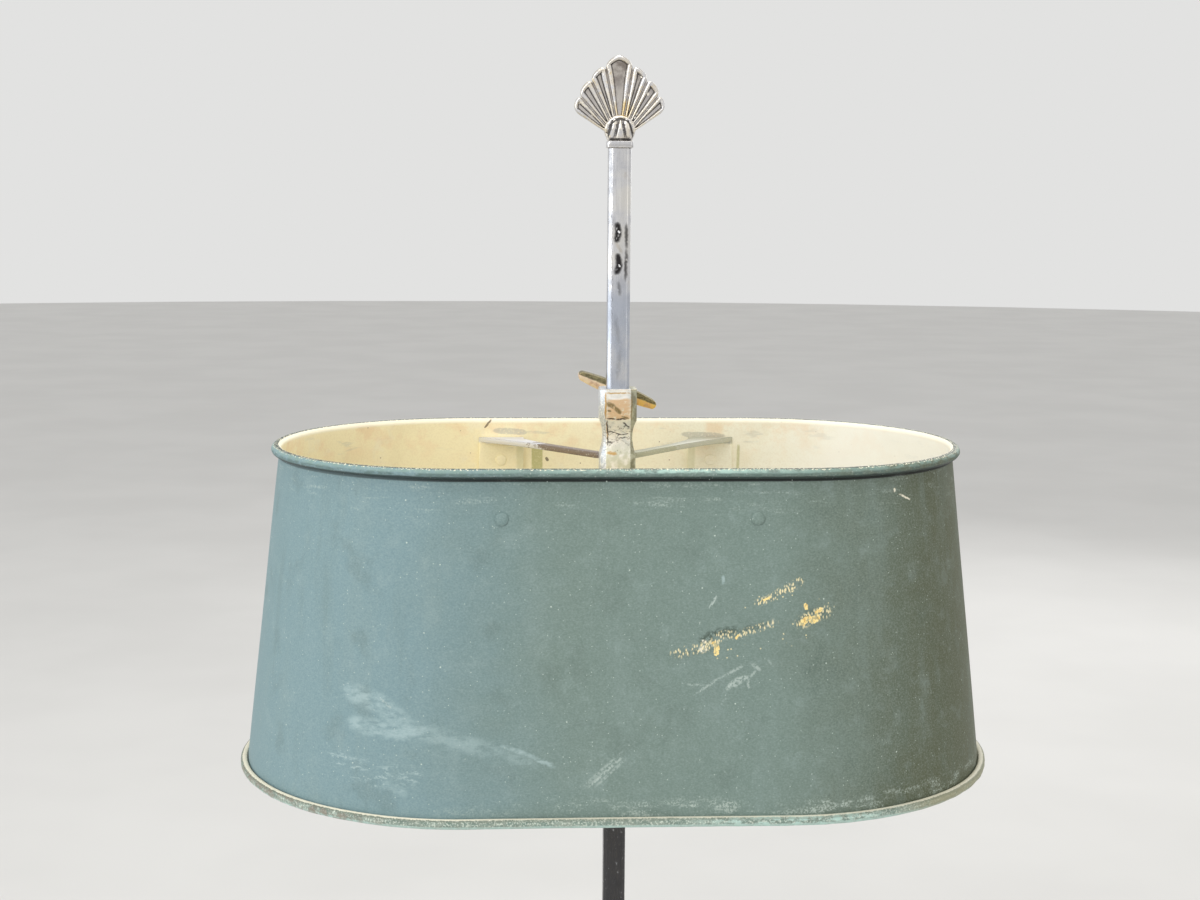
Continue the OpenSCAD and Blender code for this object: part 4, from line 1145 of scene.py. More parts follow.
@dataclass(frozen=True)
class CreamPaint:
    """Cream paint inside the shade: stained ochre near the top and rubbed grey in places, with painted light
    that makes it yellower to the left and whiter to the right.
    """

    name: str
    rim_z: float
    tab: bool = False
    strap_low: float = 0.0

    def material(self) -> Finish:
        """Builds the finish.

        Returns:
            The material.
        """
        board = Board(self.name)
        across = board.plus(board.x, board.sway(board.noise(30, shift=2), 50.0))
        # painted light: yellower cream to the left, whiter to the right
        colour = board.mix(board.ramp(across, -60, 90), paint(250, 238, 196), paint(250, 246, 226))
        level = board.less(self.rim_z, board.z)
        cloud = board.noise(15, detail=5, rough=0.6, shift=5)
        warm = board.times(board.ramp(cloud, 0.46, 0.66), board.ramp(level, 26, 2))
        colour = board.over(colour, (240, 208, 166), warm, 0.55)
        pale = board.ramp(board.noise(9, detail=4, shift=9), 0.55, 0.7)
        colour = board.over(colour, (246, 240, 214), pale, 0.35)
        grey = board.noise(7, detail=4, stretch=(0.35, 0.35, 1.6), shift=14)
        grey = board.times(board.ramp(grey, 0.6, 0.68), board.band(level, 2, 13, 2))
        colour = board.over(colour, (176, 178, 168), grey, 0.3)
        soot = board.times(board.ramp(board.noise(22, shift=18), 0.5, 0.75), board.ramp(level, 90, 10))
        colour = board.over(colour, (206, 186, 140), soot, 0.16)
        specks = board.flecks(5.5, 0.35, 0.075, shift=3)
        colour = board.over(colour, (134, 96, 58), specks, 0.75)
        fine = board.noise(0.9, detail=3, shift=7)
        colour = board.over(colour, (208, 186, 140), board.ramp(fine, 0.4, 0.7, high=0.14))
        # painted light: the far right whitened further
        colour = board.over(colour, (250, 248, 238), board.ramp(across, 70, 125, high=0.75))
        rim = board.ramp(level, 1.0, -0.6)
        colour = board.over(colour, (250, 244, 224), rim, 0.7)
        metal: Signal = 0.0
        if self.tab:
            colour, metal = self.strap(board, colour, fine)
        else:
            colour = self.back_marks(board, colour, fine)
        height = board.plus(board.times(fine, 0.5), board.times(cloud, 0.8))
        return board.dress(
            Base_Color=colour,
            Roughness=board.ramp(fine, 0.3, 0.7, low=0.42, high=0.55),
            Metallic=metal,
            Normal=board.relief(height, 0.05),
            Specular_IOR_Level=0.4,
        )

    def back_marks(self, board: Board, colour: Colour, fine: Signal) -> Colour:
        """Lays painted reflections of the back straps, dark nicks and painted shadows of the tabs on the
        inside of the back wall.

        Args:
            board: The board to wire.
            colour: The cream paint.
            fine: Fine noise that breaks the marks up.

        Returns:
            The colour with the marks.
        """
        back = board.ramp(board.y, 0.0, 5.0)
        plane = board.warped(0.8, 2.0, self.rim_z)
        # painted reflections: grey lenses above the back straps' ends, where the glossy paint mirrors them
        painted_reflections = [board.stroke(plane, (-54.5, -4.1), (-40.5, -4.9), 1.8, 1.0)]
        painted_reflections.append(board.stroke(plane, (38.5, -6.0), (58.3, -6.8), 1.7, 1.0))
        rub = board.ramp(board.strongest(*painted_reflections), 0.0, 0.5)
        rub = board.times(rub, back, board.ramp(fine, 0.3, 0.5, low=0.5))
        colour = board.over(colour, (176, 174, 162), rub, 0.55)
        nicks = [board.stroke(plane, (-60, -2.6), (-57, 1.2), 0.55, 1.0)]
        nicks.append(board.stroke(plane, (-29.4, -18.2), (-29.0, -19.0), 0.8, 1.0))
        nicks.append(board.stroke(plane, (8.8, -15.4), (9.2, -16.4), 0.6, 1.0))
        nick = board.times(board.ramp(board.strongest(*nicks), 0.0, 0.5), back)
        colour = board.over(colour, (92, 76, 52), nick, 0.8)
        # painted shadows: olive bands on the wall beside the back tabs' edges
        below = board.ramp(board.less(board.z, self.rim_z), -10.5, -12.5)
        green = board.band(board.x, -36.8, -31.4, 0.3)
        green = board.strongest(green, board.times(board.band(board.x, 65.6, 67.0, 0.3), 0.8))
        green = board.times(green, below, back, board.ramp(fine, 0.3, 0.5, low=0.7))
        return board.over(colour, (178, 176, 112), green, 0.75)

    def strap(self, board: Board, colour: Colour, fine: Signal) -> tuple[Colour, Signal]:
        """Leaves the carrier's straps in silver above their painted tabs.

        Args:
            board: The board to wire.
            colour: The cream paint.
            fine: Fine noise that breaks the borders up.

        Returns:
            The colour and how metallic it is.
        """
        torn = board.plus(board.z, board.sway(board.noise(5, detail=4, shift=33), 5.0))
        silver = board.ramp(torn, self.strap_low - 1.2, self.strap_low + 0.2)
        from_stem = board.vector("DISTANCE", board.join(board.x, board.y, 0.0), (0.0, 0.0, 0.0))
        flaking = board.noise(3.2, detail=5, rough=0.7, stretch=(0.5, 0.5, 1.0), shift=39)
        reach = board.plus(from_stem, board.sway(flaking, 90.0))
        bare = board.strongest(board.ramp(reach, 66, 56), board.ramp(board.x, 0, 10, high=0.75))
        brown = board.mix(board.ramp(board.x, -5, 5), paint(148, 134, 124), paint(186, 186, 164))
        brown = board.over(brown, (236, 234, 226), board.ramp(fine, 0.58, 0.7, high=0.6))
        metal_colour = board.mix(bare, paint(232, 233, 238), brown)
        metal_colour = board.over(metal_colour, (84, 78, 62), board.edges(0.5), 0.6)
        olive = board.times(board.edges(0.9), board.inverse(silver))
        colour = board.over(colour, (250, 244, 222), olive, 0.7)
        # painted shade along the tabs' inner upright edges
        colour = board.over(colour, (186, 184, 128), self.painted_tab_shade(board), 0.35)
        return board.mix(silver, colour, metal_colour), board.times(silver, 0.85)

    def painted_tab_shade(self, board: Board) -> Signal:
        """Finds the tabs' inner upright edges, where painted shade is laid in olive.

        Args:
            board: The board to wire.

        Returns:
            A mask from 0 to 1.
        """
        across = board.math("ABSOLUTE", board.x)
        inner = board.ramp(across, 45.0, 43.6)
        return board.times(inner, board.ramp(board.less(board.z, self.strap_low), 0.4, -0.6))


@dataclass(frozen=True)
class HemEdge:
    """Cut edge of the rolled sheet, where the paint has gone from the pinkish primer."""

    def material(self) -> Finish:
        """Builds the finish.

        Returns:
            The material.
        """
        board = Board("hem_edge")
        fine = board.noise(1.6, detail=4, rough=0.65)
        colour = board.mix(board.ramp(fine, 0.35, 0.65), paint(224, 206, 190), paint(242, 232, 214))
        dark = board.ramp(board.noise(4.5, detail=4, shift=6), 0.58, 0.7)
        colour = board.over(colour, (128, 118, 96), dark, 0.7)
        return board.dress(Base_Color=colour, Roughness=0.6, Normal=board.relief(fine, 0.06))


@dataclass(frozen=True)
class PlainMetal:
    """Steel or iron: turned smooth or cast rough, with a little rust in its hollows."""

    name: str
    tone: Tone = paint(176, 178, 182)
    rough_low: float = 0.3
    cast: float = 0.0

    def material(self) -> Finish:
        """Builds the finish.

        Returns:
            The material.
        """
        board = Board(self.name)
        fine = board.noise(0.9, detail=4, rough=0.6)
        cloud = board.noise(9, detail=5, shift=4)
        colour = board.over(self.tone, (112, 110, 106), board.ramp(cloud, 0.4, 0.7, high=0.45))
        rust = board.strongest(board.times(board.hollows(3), 0.7), board.ramp(cloud, 0.6, 0.75))
        rust = board.times(rust, board.ramp(fine, 0.35, 0.6))
        colour = board.over(colour, (118, 78, 48), rust, 0.7)
        colour = board.over(colour, (216, 216, 218), board.edges(0.5), 0.5)
        turned = board.ramp(fine, 0.3, 0.7, low=self.rough_low, high=self.rough_low + 0.15)
        rough = board.plus(turned, board.times(rust, 0.3))
        grain = board.times(fine, 0.4)
        height = board.plus(grain, board.times(board.noise(2.6, detail=5, shift=12), 2 * self.cast))
        return board.dress(
            Base_Color=colour,
            Metallic=board.inverse(board.times(rust, 0.8)),
            Roughness=rough,
            Normal=board.relief(height, 0.02 + 0.25 * self.cast),
        )


@dataclass(frozen=True)
class Felt:
    """Green wool felt: matted fibres with a little dust."""

    def material(self) -> Finish:
        """Builds the finish.

        Returns:
            The material.
        """
        board = Board("felt")
        fibres = board.noise(0.7, detail=6, rough=0.75, stretch=(0.35, 1.0, 1.0))
        cross = board.noise(0.7, detail=6, rough=0.75, stretch=(1.0, 0.35, 1.0), shift=5)
        wool = board.times(board.plus(fibres, cross), 0.5)
        colour = board.mix(board.ramp(wool, 0.35, 0.65), paint(46, 66, 50), paint(88, 112, 86))
        dust = board.ramp(board.noise(12, detail=5, shift=8), 0.52, 0.7)
        colour = board.over(colour, (140, 142, 120), dust, 0.3)
        return board.dress(
            Base_Color=colour, Roughness=0.95, Sheen_Weight=0.4, Normal=board.relief(wool, 0.35)
        )


@dataclass(frozen=True)
class Phenolic:
    """Moulded black-brown phenolic with faint flow marks."""

    def material(self) -> Finish:
        """Builds the finish.

        Returns:
            The material.
        """
        board = Board("phenolic")
        flow = board.noise(6, detail=4, rough=0.6, stretch=(1.0, 1.0, 0.4))
        fine = board.noise(0.8, detail=3, shift=4)
        colour = board.mix(board.ramp(flow, 0.42, 0.62), paint(40, 34, 32), paint(58, 48, 42))
        colour = board.over(colour, (110, 98, 88), board.edges(0.5), 0.35)
        rough = board.ramp(fine, 0.3, 0.7, low=0.3, high=0.45)
        return board.dress(Base_Color=colour, Roughness=rough, Normal=board.relief(fine, 0.015))


@dataclass(frozen=True)
class LeadCover:
    """Braided cotton over rubber on the leads inside the lamp."""

    def material(self) -> Finish:
        """Builds the finish.

        Returns:
            The material.
        """
        board = Board("lead_cover")
        distance, random = board.cells(0.9)
        colour = board.mix(board.ramp(distance, 0.1, 0.6), paint(86, 76, 64), paint(40, 36, 32))
        colour = board.over(colour, (120, 108, 88), board.ramp(random, 0.6, 0.9, high=0.4))
        return board.dress(
            Base_Color=colour, Roughness=0.85, Normal=board.relief(board.inverse(distance), 0.2)
        )


@dataclass(frozen=True)
class Ceramic:
    """Unglazed white steatite of the terminal block."""

    def material(self) -> Finish:
        """Builds the finish.

        Returns:
            The material.
        """
        board = Board("ceramic")
        fine = board.noise(0.7, detail=5)
        stain = board.ramp(board.noise(6, detail=4, shift=3), 0.5, 0.7)
        colour = board.mix(board.ramp(fine, 0.35, 0.7), paint(222, 214, 196), paint(236, 230, 216))
        colour = board.over(colour, (178, 152, 116), stain, 0.4)
        return board.dress(Base_Color=colour, Roughness=0.6, Normal=board.relief(fine, 0.05))


@dataclass(frozen=True)
class CandleCard:
    """Ivory card sleeve with wax run down it, browned by the bulb's heat at its top."""

    top_z: float

    def material(self) -> Finish:
        """Builds the finish.

        Returns:
            The material.
        """
        board = Board("candle_card")
        drop = board.less(self.top_z, board.z)
        fibre = board.noise(1.4, detail=5, rough=0.65, stretch=(1.0, 1.0, 0.25))
        cloud = board.noise(9, detail=4, shift=5)
        colour = board.mix(board.ramp(cloud, 0.35, 0.65), paint(232, 220, 186), paint(240, 231, 204))
        heat = board.plus(drop, board.sway(cloud, 20.0))
        colour = board.over(colour, (190, 148, 92), board.ramp(heat, 12, -4, high=0.65))
        dust = board.times(board.hollows(3), 0.6)
        colour = board.over(colour, (150, 134, 104), dust)
        colour = board.over(colour, (206, 186, 140), board.ramp(fibre, 0.4, 0.7, high=0.18))
        return board.dress(
            Base_Color=colour,
            Roughness=board.ramp(fibre, 0.3, 0.7, low=0.42, high=0.6),
            Subsurface_Weight=0.12,
            Subsurface_Scale=0.003,
            Normal=board.relief(fibre, 0.06),
        )


@dataclass(frozen=True)
class BulbGlass:
    """Clear bulb glass with a little dust."""

    def material(self) -> Finish:
        """Builds the finish.

        Returns:
            The material.
        """
        board = Board("bulb_glass")
        dust = board.ramp(board.noise(5, detail=5, rough=0.7), 0.5, 0.8, high=0.12)
        streaks = board.noise(3, detail=3, stretch=(1.0, 1.0, 0.15), shift=4)
        rough = board.plus(board.ramp(streaks, 0.4, 0.7, high=0.04), dust)
        return board.dress(
            Base_Color=paint(250, 249, 245), Roughness=rough, Transmission_Weight=1.0, IOR=1.47
        )


@dataclass(frozen=True)
class FilamentWire:
    """Grey tungsten and nickel wire of the filament."""

    def material(self) -> Finish:
        """Builds the finish.

        Returns:
            The material.
        """
        board = Board("filament_wire")
        fine = board.noise(0.5, detail=3)
        colour = board.mix(board.ramp(fine, 0.35, 0.65), paint(120, 116, 112), paint(176, 170, 160))
        return board.dress(Base_Color=colour, Metallic=1.0, Roughness=0.35, Normal=board.relief(fine, 0.02))


# ---- Mesh former ----


class Former:
    """Collects the points and faces of one piece."""

    def __init__(self) -> None:
        """Starts with nothing."""
        self.points: list[Point] = []
        self.faces: list[tuple[int, ...]] = []
        self.finishes: list[int] = []

    def row(self, points: Sequence[Point]) -> list[int]:
        """Adds a row of points and gives their numbers.

        Args:
            points: The row's points.

        Returns:
            Their numbers.
        """
        first = len(self.points)
        self.points.extend(points)
        return list(range(first, len(self.points)))

    def face(self, corners: Sequence[int], finish: int = 0) -> None:
        """Adds one face."""
        self.faces.append(tuple(corners))
        self.finishes.append(finish)

    def strip(self, low: Sequence[int], high: Sequence[int], closed: bool = True, finish: int = 0) -> None:
        """Joins two rows with quads.

        Args:
            low: First row.
            high: Second row, with as many points.
            closed: Whether the rows run round.
            finish: Number of the finish in the piece's list.
        """
        count = len(low)
        for i in range(count if closed else count - 1):
            j = (i + 1) % count
            self.face((low[i], low[j], high[j], high[i]), finish)

    def skin(self, rows: Sequence[Sequence[int]], closed: bool = True, finish: int = 0) -> None:
        """Joins each row with the next."""
        for low, high in zip(rows, rows[1:]):
            self.strip(low, high, closed, finish)

    def lathe(
        self,
        outline: Sequence[Flat],
        steps: int,
        centre: Flat = (0.0, 0.0),
        swell: Optional[Callable[[float, float, float], float]] = None,
        loop: bool = True,
        finish: int = 0,
    ) -> None:
        """Turns an outline round an upright axis.

        Args:
            outline: Radii and heights.
            steps: Number of faces round the axis.
            centre: The axis in x and y.
            swell: Gives what is added to the radius at an angle, a radius and a height.
            loop: Whether the outline's end joins its start.
            finish: Number of the finish.
        """
        turns = [2 * math.pi * i / steps for i in range(steps)]
        rows = []
        for radius, height in outline:
            reach = [radius + (swell(a, radius, height) if swell else 0.0) for a in turns]
            ring = []
            for a, r in zip(turns, reach):
                ring.append((centre[0] + r * math.cos(a), centre[1] + r * math.sin(a), height))
            rows.append(self.row(ring))
        self.skin(rows + [rows[0]] if loop else rows, finish=finish)

    def tube(self, path: Sequence[Vector], radius: float, sides: int = 8) -> None:
        """Sweeps a round tube along a path, with closed ends.

        Args:
            path: Points of the middle line.
            radius: Radius of the tube.
            sides: Number of faces round it.
        """
        rows = []
        side = Vector((0.0, 1.0, 0.0))
        for i, point in enumerate(path):
            along = (path[min(i + 1, len(path) - 1)] - path[max(i - 1, 0)]).normalized()
            side = (side - along * side.dot(along)).normalized()
            other = along.cross(side)
            turns = [2 * math.pi * k / sides for k in range(sides)]
            ring = [tuple(point + radius * (math.cos(a) * side + math.sin(a) * other)) for a in turns]
            rows.append(self.row(ring))
        self.skin(rows)
        self.face(rows[0])
        self.face(rows[-1])

    def piece(
        self,
        name: str,
        body: str,
        slot: str,
        finishes: Sequence[Finish],
        replaces: Sequence[str] = (),
        crease: float = 50.0,
    ) -> bpy.types.Object:
        """Makes the piece and hangs it on its body.

        Args:
            name: Name of the piece.
            body: Body that it moves with.
            slot: The record's material slot. Not used.
            finishes: Its materials, in the order of the faces' numbers.
            replaces: Nodes that it stands for.
            crease: Angle in degrees above which an edge stays sharp.

        Returns:
            The piece's object.
        """
        mesh = bpy.data.meshes.new(name)
        mesh.from_pydata([tuple(c * MM for c in p) for p in self.points], [], self.faces)
        mesh.polygons.foreach_set("material_index", self.finishes)
        work = bmesh.new()
        work.from_mesh(mesh)
        bmesh.ops.remove_doubles(work, verts=work.verts, dist=WELD)
        bmesh.ops.dissolve_degenerate(work, edges=work.edges, dist=WELD / 2)
        bmesh.ops.recalc_face_normals(work, faces=work.faces)
        work.to_mesh(mesh)
        work.free()
        mesh.polygons.foreach_set("use_smooth", [True] * len(mesh.polygons))
        mesh.set_sharp_from_angle(angle=math.radians(crease))
        piece = bpy.data.objects.new(name, mesh)
        bpy.context.scene.collection.objects.link(piece)
        for finish in finishes:
            mesh.materials.append(finish)
        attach(piece, body)
        if replaces:
            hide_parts(*replaces)
        return piece


# ---- Carried nodes ----


class Skins:
    """Gives the frame's own nodes softened edges and even shading."""

    def __init__(self) -> None:
        """Builds the two node groups that every softened node shares."""
        self.joined = self.group("joined_skin", self.join_points)
        self.shaded = self.group("even_shading", self.shade_evenly)

    def group(self, name: str, fill: Callable[..., Socket]) -> bpy.types.NodeTree:
        """Makes a node group with one mesh in and one out.

        Args:
            name: Name of the group.
            fill: Adds the group's steps and gives their result.

        Returns:
            The group.
        """
        tree = bpy.data.node_groups.new(name, "GeometryNodeTree")
        tree.interface.new_socket("Mesh", in_out="INPUT", socket_type="NodeSocketGeometry")
        tree.interface.new_socket("Mesh", in_out="OUTPUT", socket_type="NodeSocketGeometry")
        entry = tree.nodes.new("NodeGroupInput")
        leave = tree.nodes.new("NodeGroupOutput")
        tree.links.new(fill(tree, entry.outputs[0]), leave.inputs[0])
        return tree

    def join_points(self, tree: bpy.types.NodeTree, mesh: Socket) -> Socket:
        """Merges points that lie together and forgets the stored normals.

        Args:
            tree: The group.
            mesh: The mesh that comes in.

        Returns:
            The mesh that goes out.
        """
        merge = tree.nodes.new("GeometryNodeMergeByDistance")
        merge.inputs["Distance"].default_value = WELD
        forget = tree.nodes.new("GeometryNodeRemoveAttribute")
        forget.inputs["Name"].default_value = "custom_normal"
        tree.links.new(mesh, merge.inputs[0])
        tree.links.new(merge.outputs[0], forget.inputs[0])
        return forget.outputs[0]

    def shade_evenly(self, tree: bpy.types.NodeTree, mesh: Socket) -> Socket:
        """Shades smooth across every edge under a set angle.

        Args:
            tree: The group.
            mesh: The mesh that comes in.

        Returns:
            The mesh that goes out.
        """
        faces = tree.nodes.new("GeometryNodeSetShadeSmooth")
        faces.domain = "FACE"
        angle = tree.nodes.new("GeometryNodeInputMeshEdgeAngle")
        small = tree.nodes.new("FunctionNodeCompare")
        small.operation = "LESS_THAN"
        small.inputs[1].default_value = SMOOTH_UNDER
        edges = tree.nodes.new("GeometryNodeSetShadeSmooth")
        edges.domain = "EDGE"
        tree.links.new(angle.outputs[0], small.inputs[0])
        tree.links.new(mesh, faces.inputs[0])
        tree.links.new(faces.outputs[0], edges.inputs[0])
        tree.links.new(small.outputs[0], edges.inputs["Shade Smooth"])
        return edges.outputs[0]

    def dress(self, node: str, finish: Finish, soften: float) -> None:
        """Gives a node its finish.

        Args:
            node: Name of the node.
            finish: Its material.
            soften: Width of the bevel on its sharp edges, or 0 for none.
        """
        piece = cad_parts[node]
        if not piece.material_slots:
            piece.data.materials.append(finish)
        for slot in piece.material_slots:
            slot.material = finish
        joined = piece.modifiers.new("joined_skin", "NODES")
        joined.node_group = self.joined
        if soften:
            bevel = piece.modifiers.new("soft_edges", "BEVEL")
            bevel.width = soften * MM
            bevel.segments = 2
            bevel.limit_method = "ANGLE"
            bevel.angle_limit = SOFTEN_OVER
        shaded = piece.modifiers.new("even_shading", "NODES")
        shaded.node_group = self.shaded

    def dress_all(self, dressed: dict[str, tuple[Finish, float]]) -> list[str]:
        """Dresses nodes from their finishes and bevel widths.

        Args:
            dressed: Finish and width of the bevel for each node's name.

        Returns:
            Names of the nodes.
        """
        for node, (finish, soften) in dressed.items():
            self.dress(node, finish, soften)
        return list(dressed)


# ---- Finial ----


@dataclass
class Finial:
    """Cast palmette: seven rimmed lobes that fan out from a bud with leaves."""

    plate: Finish
    root: float = 6.0
    sides: tuple[float, ...] = (10.5, 25.0, 41.3, 56.6)
    inner_tip: tuple[float, ...] = (37.2, 32.6, 29.2, 26.2)
    outer_tip: tuple[float, ...] = (33.4, 29.6, 26.6, 23.2)
    bulge: tuple[float, ...] = (0.0, 0.7, 0.55, 0.8)
    corner: float = 1.9
    rim_wide: float = 2.3
    rim_narrow: float = 1.05
    groove: float = 0.3
    groove_depth: float = 0.85
    sink: float = 0.95
    lean: float = -0.8
    half_t: float = 2.0
    across_steps: int = 40
    long_steps: int = 84
    bud_steps: int = 128
    bud_rows: int = 60
    bud_flat: float = 0.82
    hood_rise: float = 1.15
    leaf_rise: float = 0.95
    cast_rise: float = 0.07
    cast_size: float = 2.2
    stud_r: float = 2.0
    hood: tuple[Flat, ...] = (
        (-6.6, 4.6), (-5.7, 7.2), (-4.2, 9.4), (-2.2, 10.5), (0.0, 10.8),
        (2.2, 10.5), (4.2, 9.4), (5.7, 7.2), (6.6, 4.6),
    )
    bud_outline: tuple[Flat, ...] = (
        (5.2, 0.0), (5.7, 0.9), (6.5, 3.0), (7.1, 5.4), (6.8, 7.6),
        (5.7, 9.4), (4.0, 10.8), (1.9, 11.6), (0.0, 11.8),
    )

    def __post_init__(self) -> None:
        """Reads the cap's top and the stud's foot from the frame."""
        self.low_z = box_mm("stem_cap")[1].z
        self.stud_low = box_mm("finial")[0].z

    def tip_radius(self, lobe: int, share: float) -> float:
        """Gives how far a lobe's edge lies from the fan's root.

        Args:
            lobe: 0 for the middle lobe, up to 3 for the lowest.
            share: Place across the lobe from its inner side, 0, to its outer side, 1.

        Returns:
            The radius.
        """
        inner, outer = self.inner_tip[lobe], self.outer_tip[lobe]
        radius = inner + (outer - inner) * share ** 1.5 + self.bulge[lobe] * 4 * share * (1 - share)
        inner_side = 0.0 if lobe == 0 else self.sides[lobe - 1]
        width = math.radians(self.sides[lobe] - inner_side) * radius
        from_side = (1 - share) * width if lobe == 0 else min(share, 1 - share) * width
        if from_side < self.corner:
            radius -= self.corner * (1 - math.sqrt(1 - (1 - from_side / self.corner) ** 2))
        return radius

    def sunk(self, from_side: float, from_tip: float, radius: float, free_side: bool) -> float:
        """Gives how deep the face lies under the rim's crest.

        Args:
            from_side: Distance to the lobe's nearer side.
            from_tip: Distance to the lobe's tip.
            radius: Distance from the fan's root.
            free_side: Whether that side is the fan's own outer edge.

        Returns:
            The depth, 0 on the crest.
        """
        rim = self.rim_narrow + (self.rim_wide - self.rim_narrow) * smooth_step(radius, 10, 30)
        groove = 0.0 if free_side else self.groove
        inside = min(from_side - groove, from_tip)
        if inside <= 0:
            return self.groove_depth
        share = inside / rim
        if share >= 1:
            return self.sink
        swell = math.sin(math.pi * share) ** 0.75
        return (self.groove_depth if share < 0.5 else self.sink) * (1 - swell)

    def columns(self) -> list[tuple[float, int, float]]:
        """Lists the fan's columns from left to right.

        Returns:
            Angle, lobe and share across the lobe of each column.
        """
        right: list[tuple[float, int, float]] = []
        for lobe in range(4):
            inner = 0.0 if lobe == 0 else self.sides[lobe - 1]
            for i in range(0 if lobe == 0 else 1, self.across_steps + 1):
                even = i / self.across_steps
                share = 0.5 - 0.5 * math.cos(math.pi * even) if lobe else math.sin(math.pi / 2 * even)
                right.append((inner + (self.sides[lobe] - inner) * share, lobe, share))
        left = [(-angle, lobe, share) for angle, lobe, share in reversed(right[1:])]
        return left + right

    def fan(self, former: Former) -> None:
        """Forms the seven lobes with their front, back and edge.

        Args:
            former: Takes the points and faces.
        """
        fronts: list[list[int]] = []
        backs: list[list[int]] = []
        for angle, lobe, share in self.columns():
            tip = self.tip_radius(lobe, share)
            inner = 0.0 if lobe == 0 else self.sides[lobe - 1]
            size = abs(angle)
            front: list[Point] = []
            back: list[Point] = []
            for i in range(self.long_steps + 1):
                even = i / self.long_steps
                radius = self.root + (tip - self.root) * (1 - (1 - even) ** 1.5)
                outer_gap = radius * math.sin(math.radians(self.sides[lobe] - size))
                inner_gap = radius * math.sin(math.radians(size - inner)) if lobe else outer_gap + 1
                free = lobe == 3 and outer_gap < inner_gap
                depth = self.sunk(min(outer_gap, inner_gap), tip - radius, radius, free)
                turn = math.radians(angle + self.lean)
                x, z = radius * math.sin(turn), self.low_z + radius * math.cos(turn)
                uneven = self.cast_rise * noise.noise(Vector((x / self.cast_size, 0.0, z / self.cast_size)))
                front.append((x, -self.half_t + depth + uneven, z))
                back.append((x, self.half_t - depth - uneven, z))
            fronts.append(former.row(front))
            backs.append(former.row(back))
        former.skin(fronts, closed=False)
        former.skin(backs, closed=False)
        for front_row, back_row in ((fronts[0], backs[0]), (fronts[-1], backs[-1])):
            former.strip(front_row, back_row, closed=False)
        for end in (0, -1):
            former.strip([row[end] for row in fronts], [row[end] for row in backs], closed=False)

    def leaf_relief(self, x: float, z: float) -> float:
        """Gives the bud's carving: a hood with two arms over three leaves.

        Args:
            x: Place across the bud.
            z: Height above the cap.

        Returns:
            Height above the bud's ground.
        """
        best = 0.0
        for a, b in zip(self.hood, self.hood[1:]):
            gap, _ = gap_to_stroke(x, z, a, b)
            middle = abs(a[0] + b[0]) / 2
            half = 0.95 - 0.035 * middle
            best = max(best, self.hood_rise * math.sqrt(max(0.0, 1 - (gap / half) ** 2)))
        outer = [((side * 2.6, 8.6), (side * 4.5, 2.6), 1.0, 1.5) for side in (-1, 1)]
        leaves = [*outer, ((0.0, 8.7), (0.0, 1.6), 0.55, 2.1)]
        for start, end, wide_start, wide_end in leaves:
            gap, share = gap_to_stroke(x, z, start, end)
            half = wide_start + (wide_end - wide_start) * share ** 1.3
            best = max(best, self.leaf_rise * math.sqrt(max(0.0, 1 - (gap / half) ** 2)))
        return best

    def bud(self, former: Former) -> None:
        """Forms the bud with its leaves on the front and on the back.

        Args:
            former: Takes the points and faces.
        """
        steps, rows = self.bud_steps, self.bud_rows
        heights = [z for _, z in self.bud_outline]
        rings = []
        for i in range(rows + 1):
            z = heights[-1] * math.sin(math.pi / 2 * i / rows)
            k = max(j for j in range(len(heights) - 1) if heights[j] <= z + 1e-9)
            share = (z - heights[k]) / (heights[k + 1] - heights[k])
            radius = self.bud_outline[k][0] + (self.bud_outline[k + 1][0] - self.bud_outline[k][0]) * share
            ring = []
            for j in range(steps):
                turn = 2 * math.pi * j / steps
                x, y = radius * math.cos(turn), self.bud_flat * radius * math.sin(turn)
                facing = smooth_step(abs(math.sin(turn)), 0.0, 0.35)
                rise = (self.leaf_relief(x, z) - 0.8) * facing
                outward = Vector((math.cos(turn), math.sin(turn), 0.25)).normalized() * rise
                ring.append((x + outward.x, y + outward.y, self.low_z + z + max(0.0, outward.z)))
            rings.append(former.row(ring))
        former.skin(rings)
        former.face(rings[0])
        former.face(rings[-1])

    def build(self) -> list[str]:
        """Makes the finial.

        Returns:
            Names of the pieces.
        """
        former = Former()
        self.fan(former)
        self.bud(former)
        low, top, reach = self.stud_low, self.low_z + 1, self.stud_r
        stud = [(0.0, low), (reach, low), (reach, top), (0.0, top)]
        former.lathe(stud, 24)
        former.piece("palmette", "base", "silver_plate", [self.plate], replaces=["finial"], crease=75)
        return ["palmette"]


# ---- Shade ----


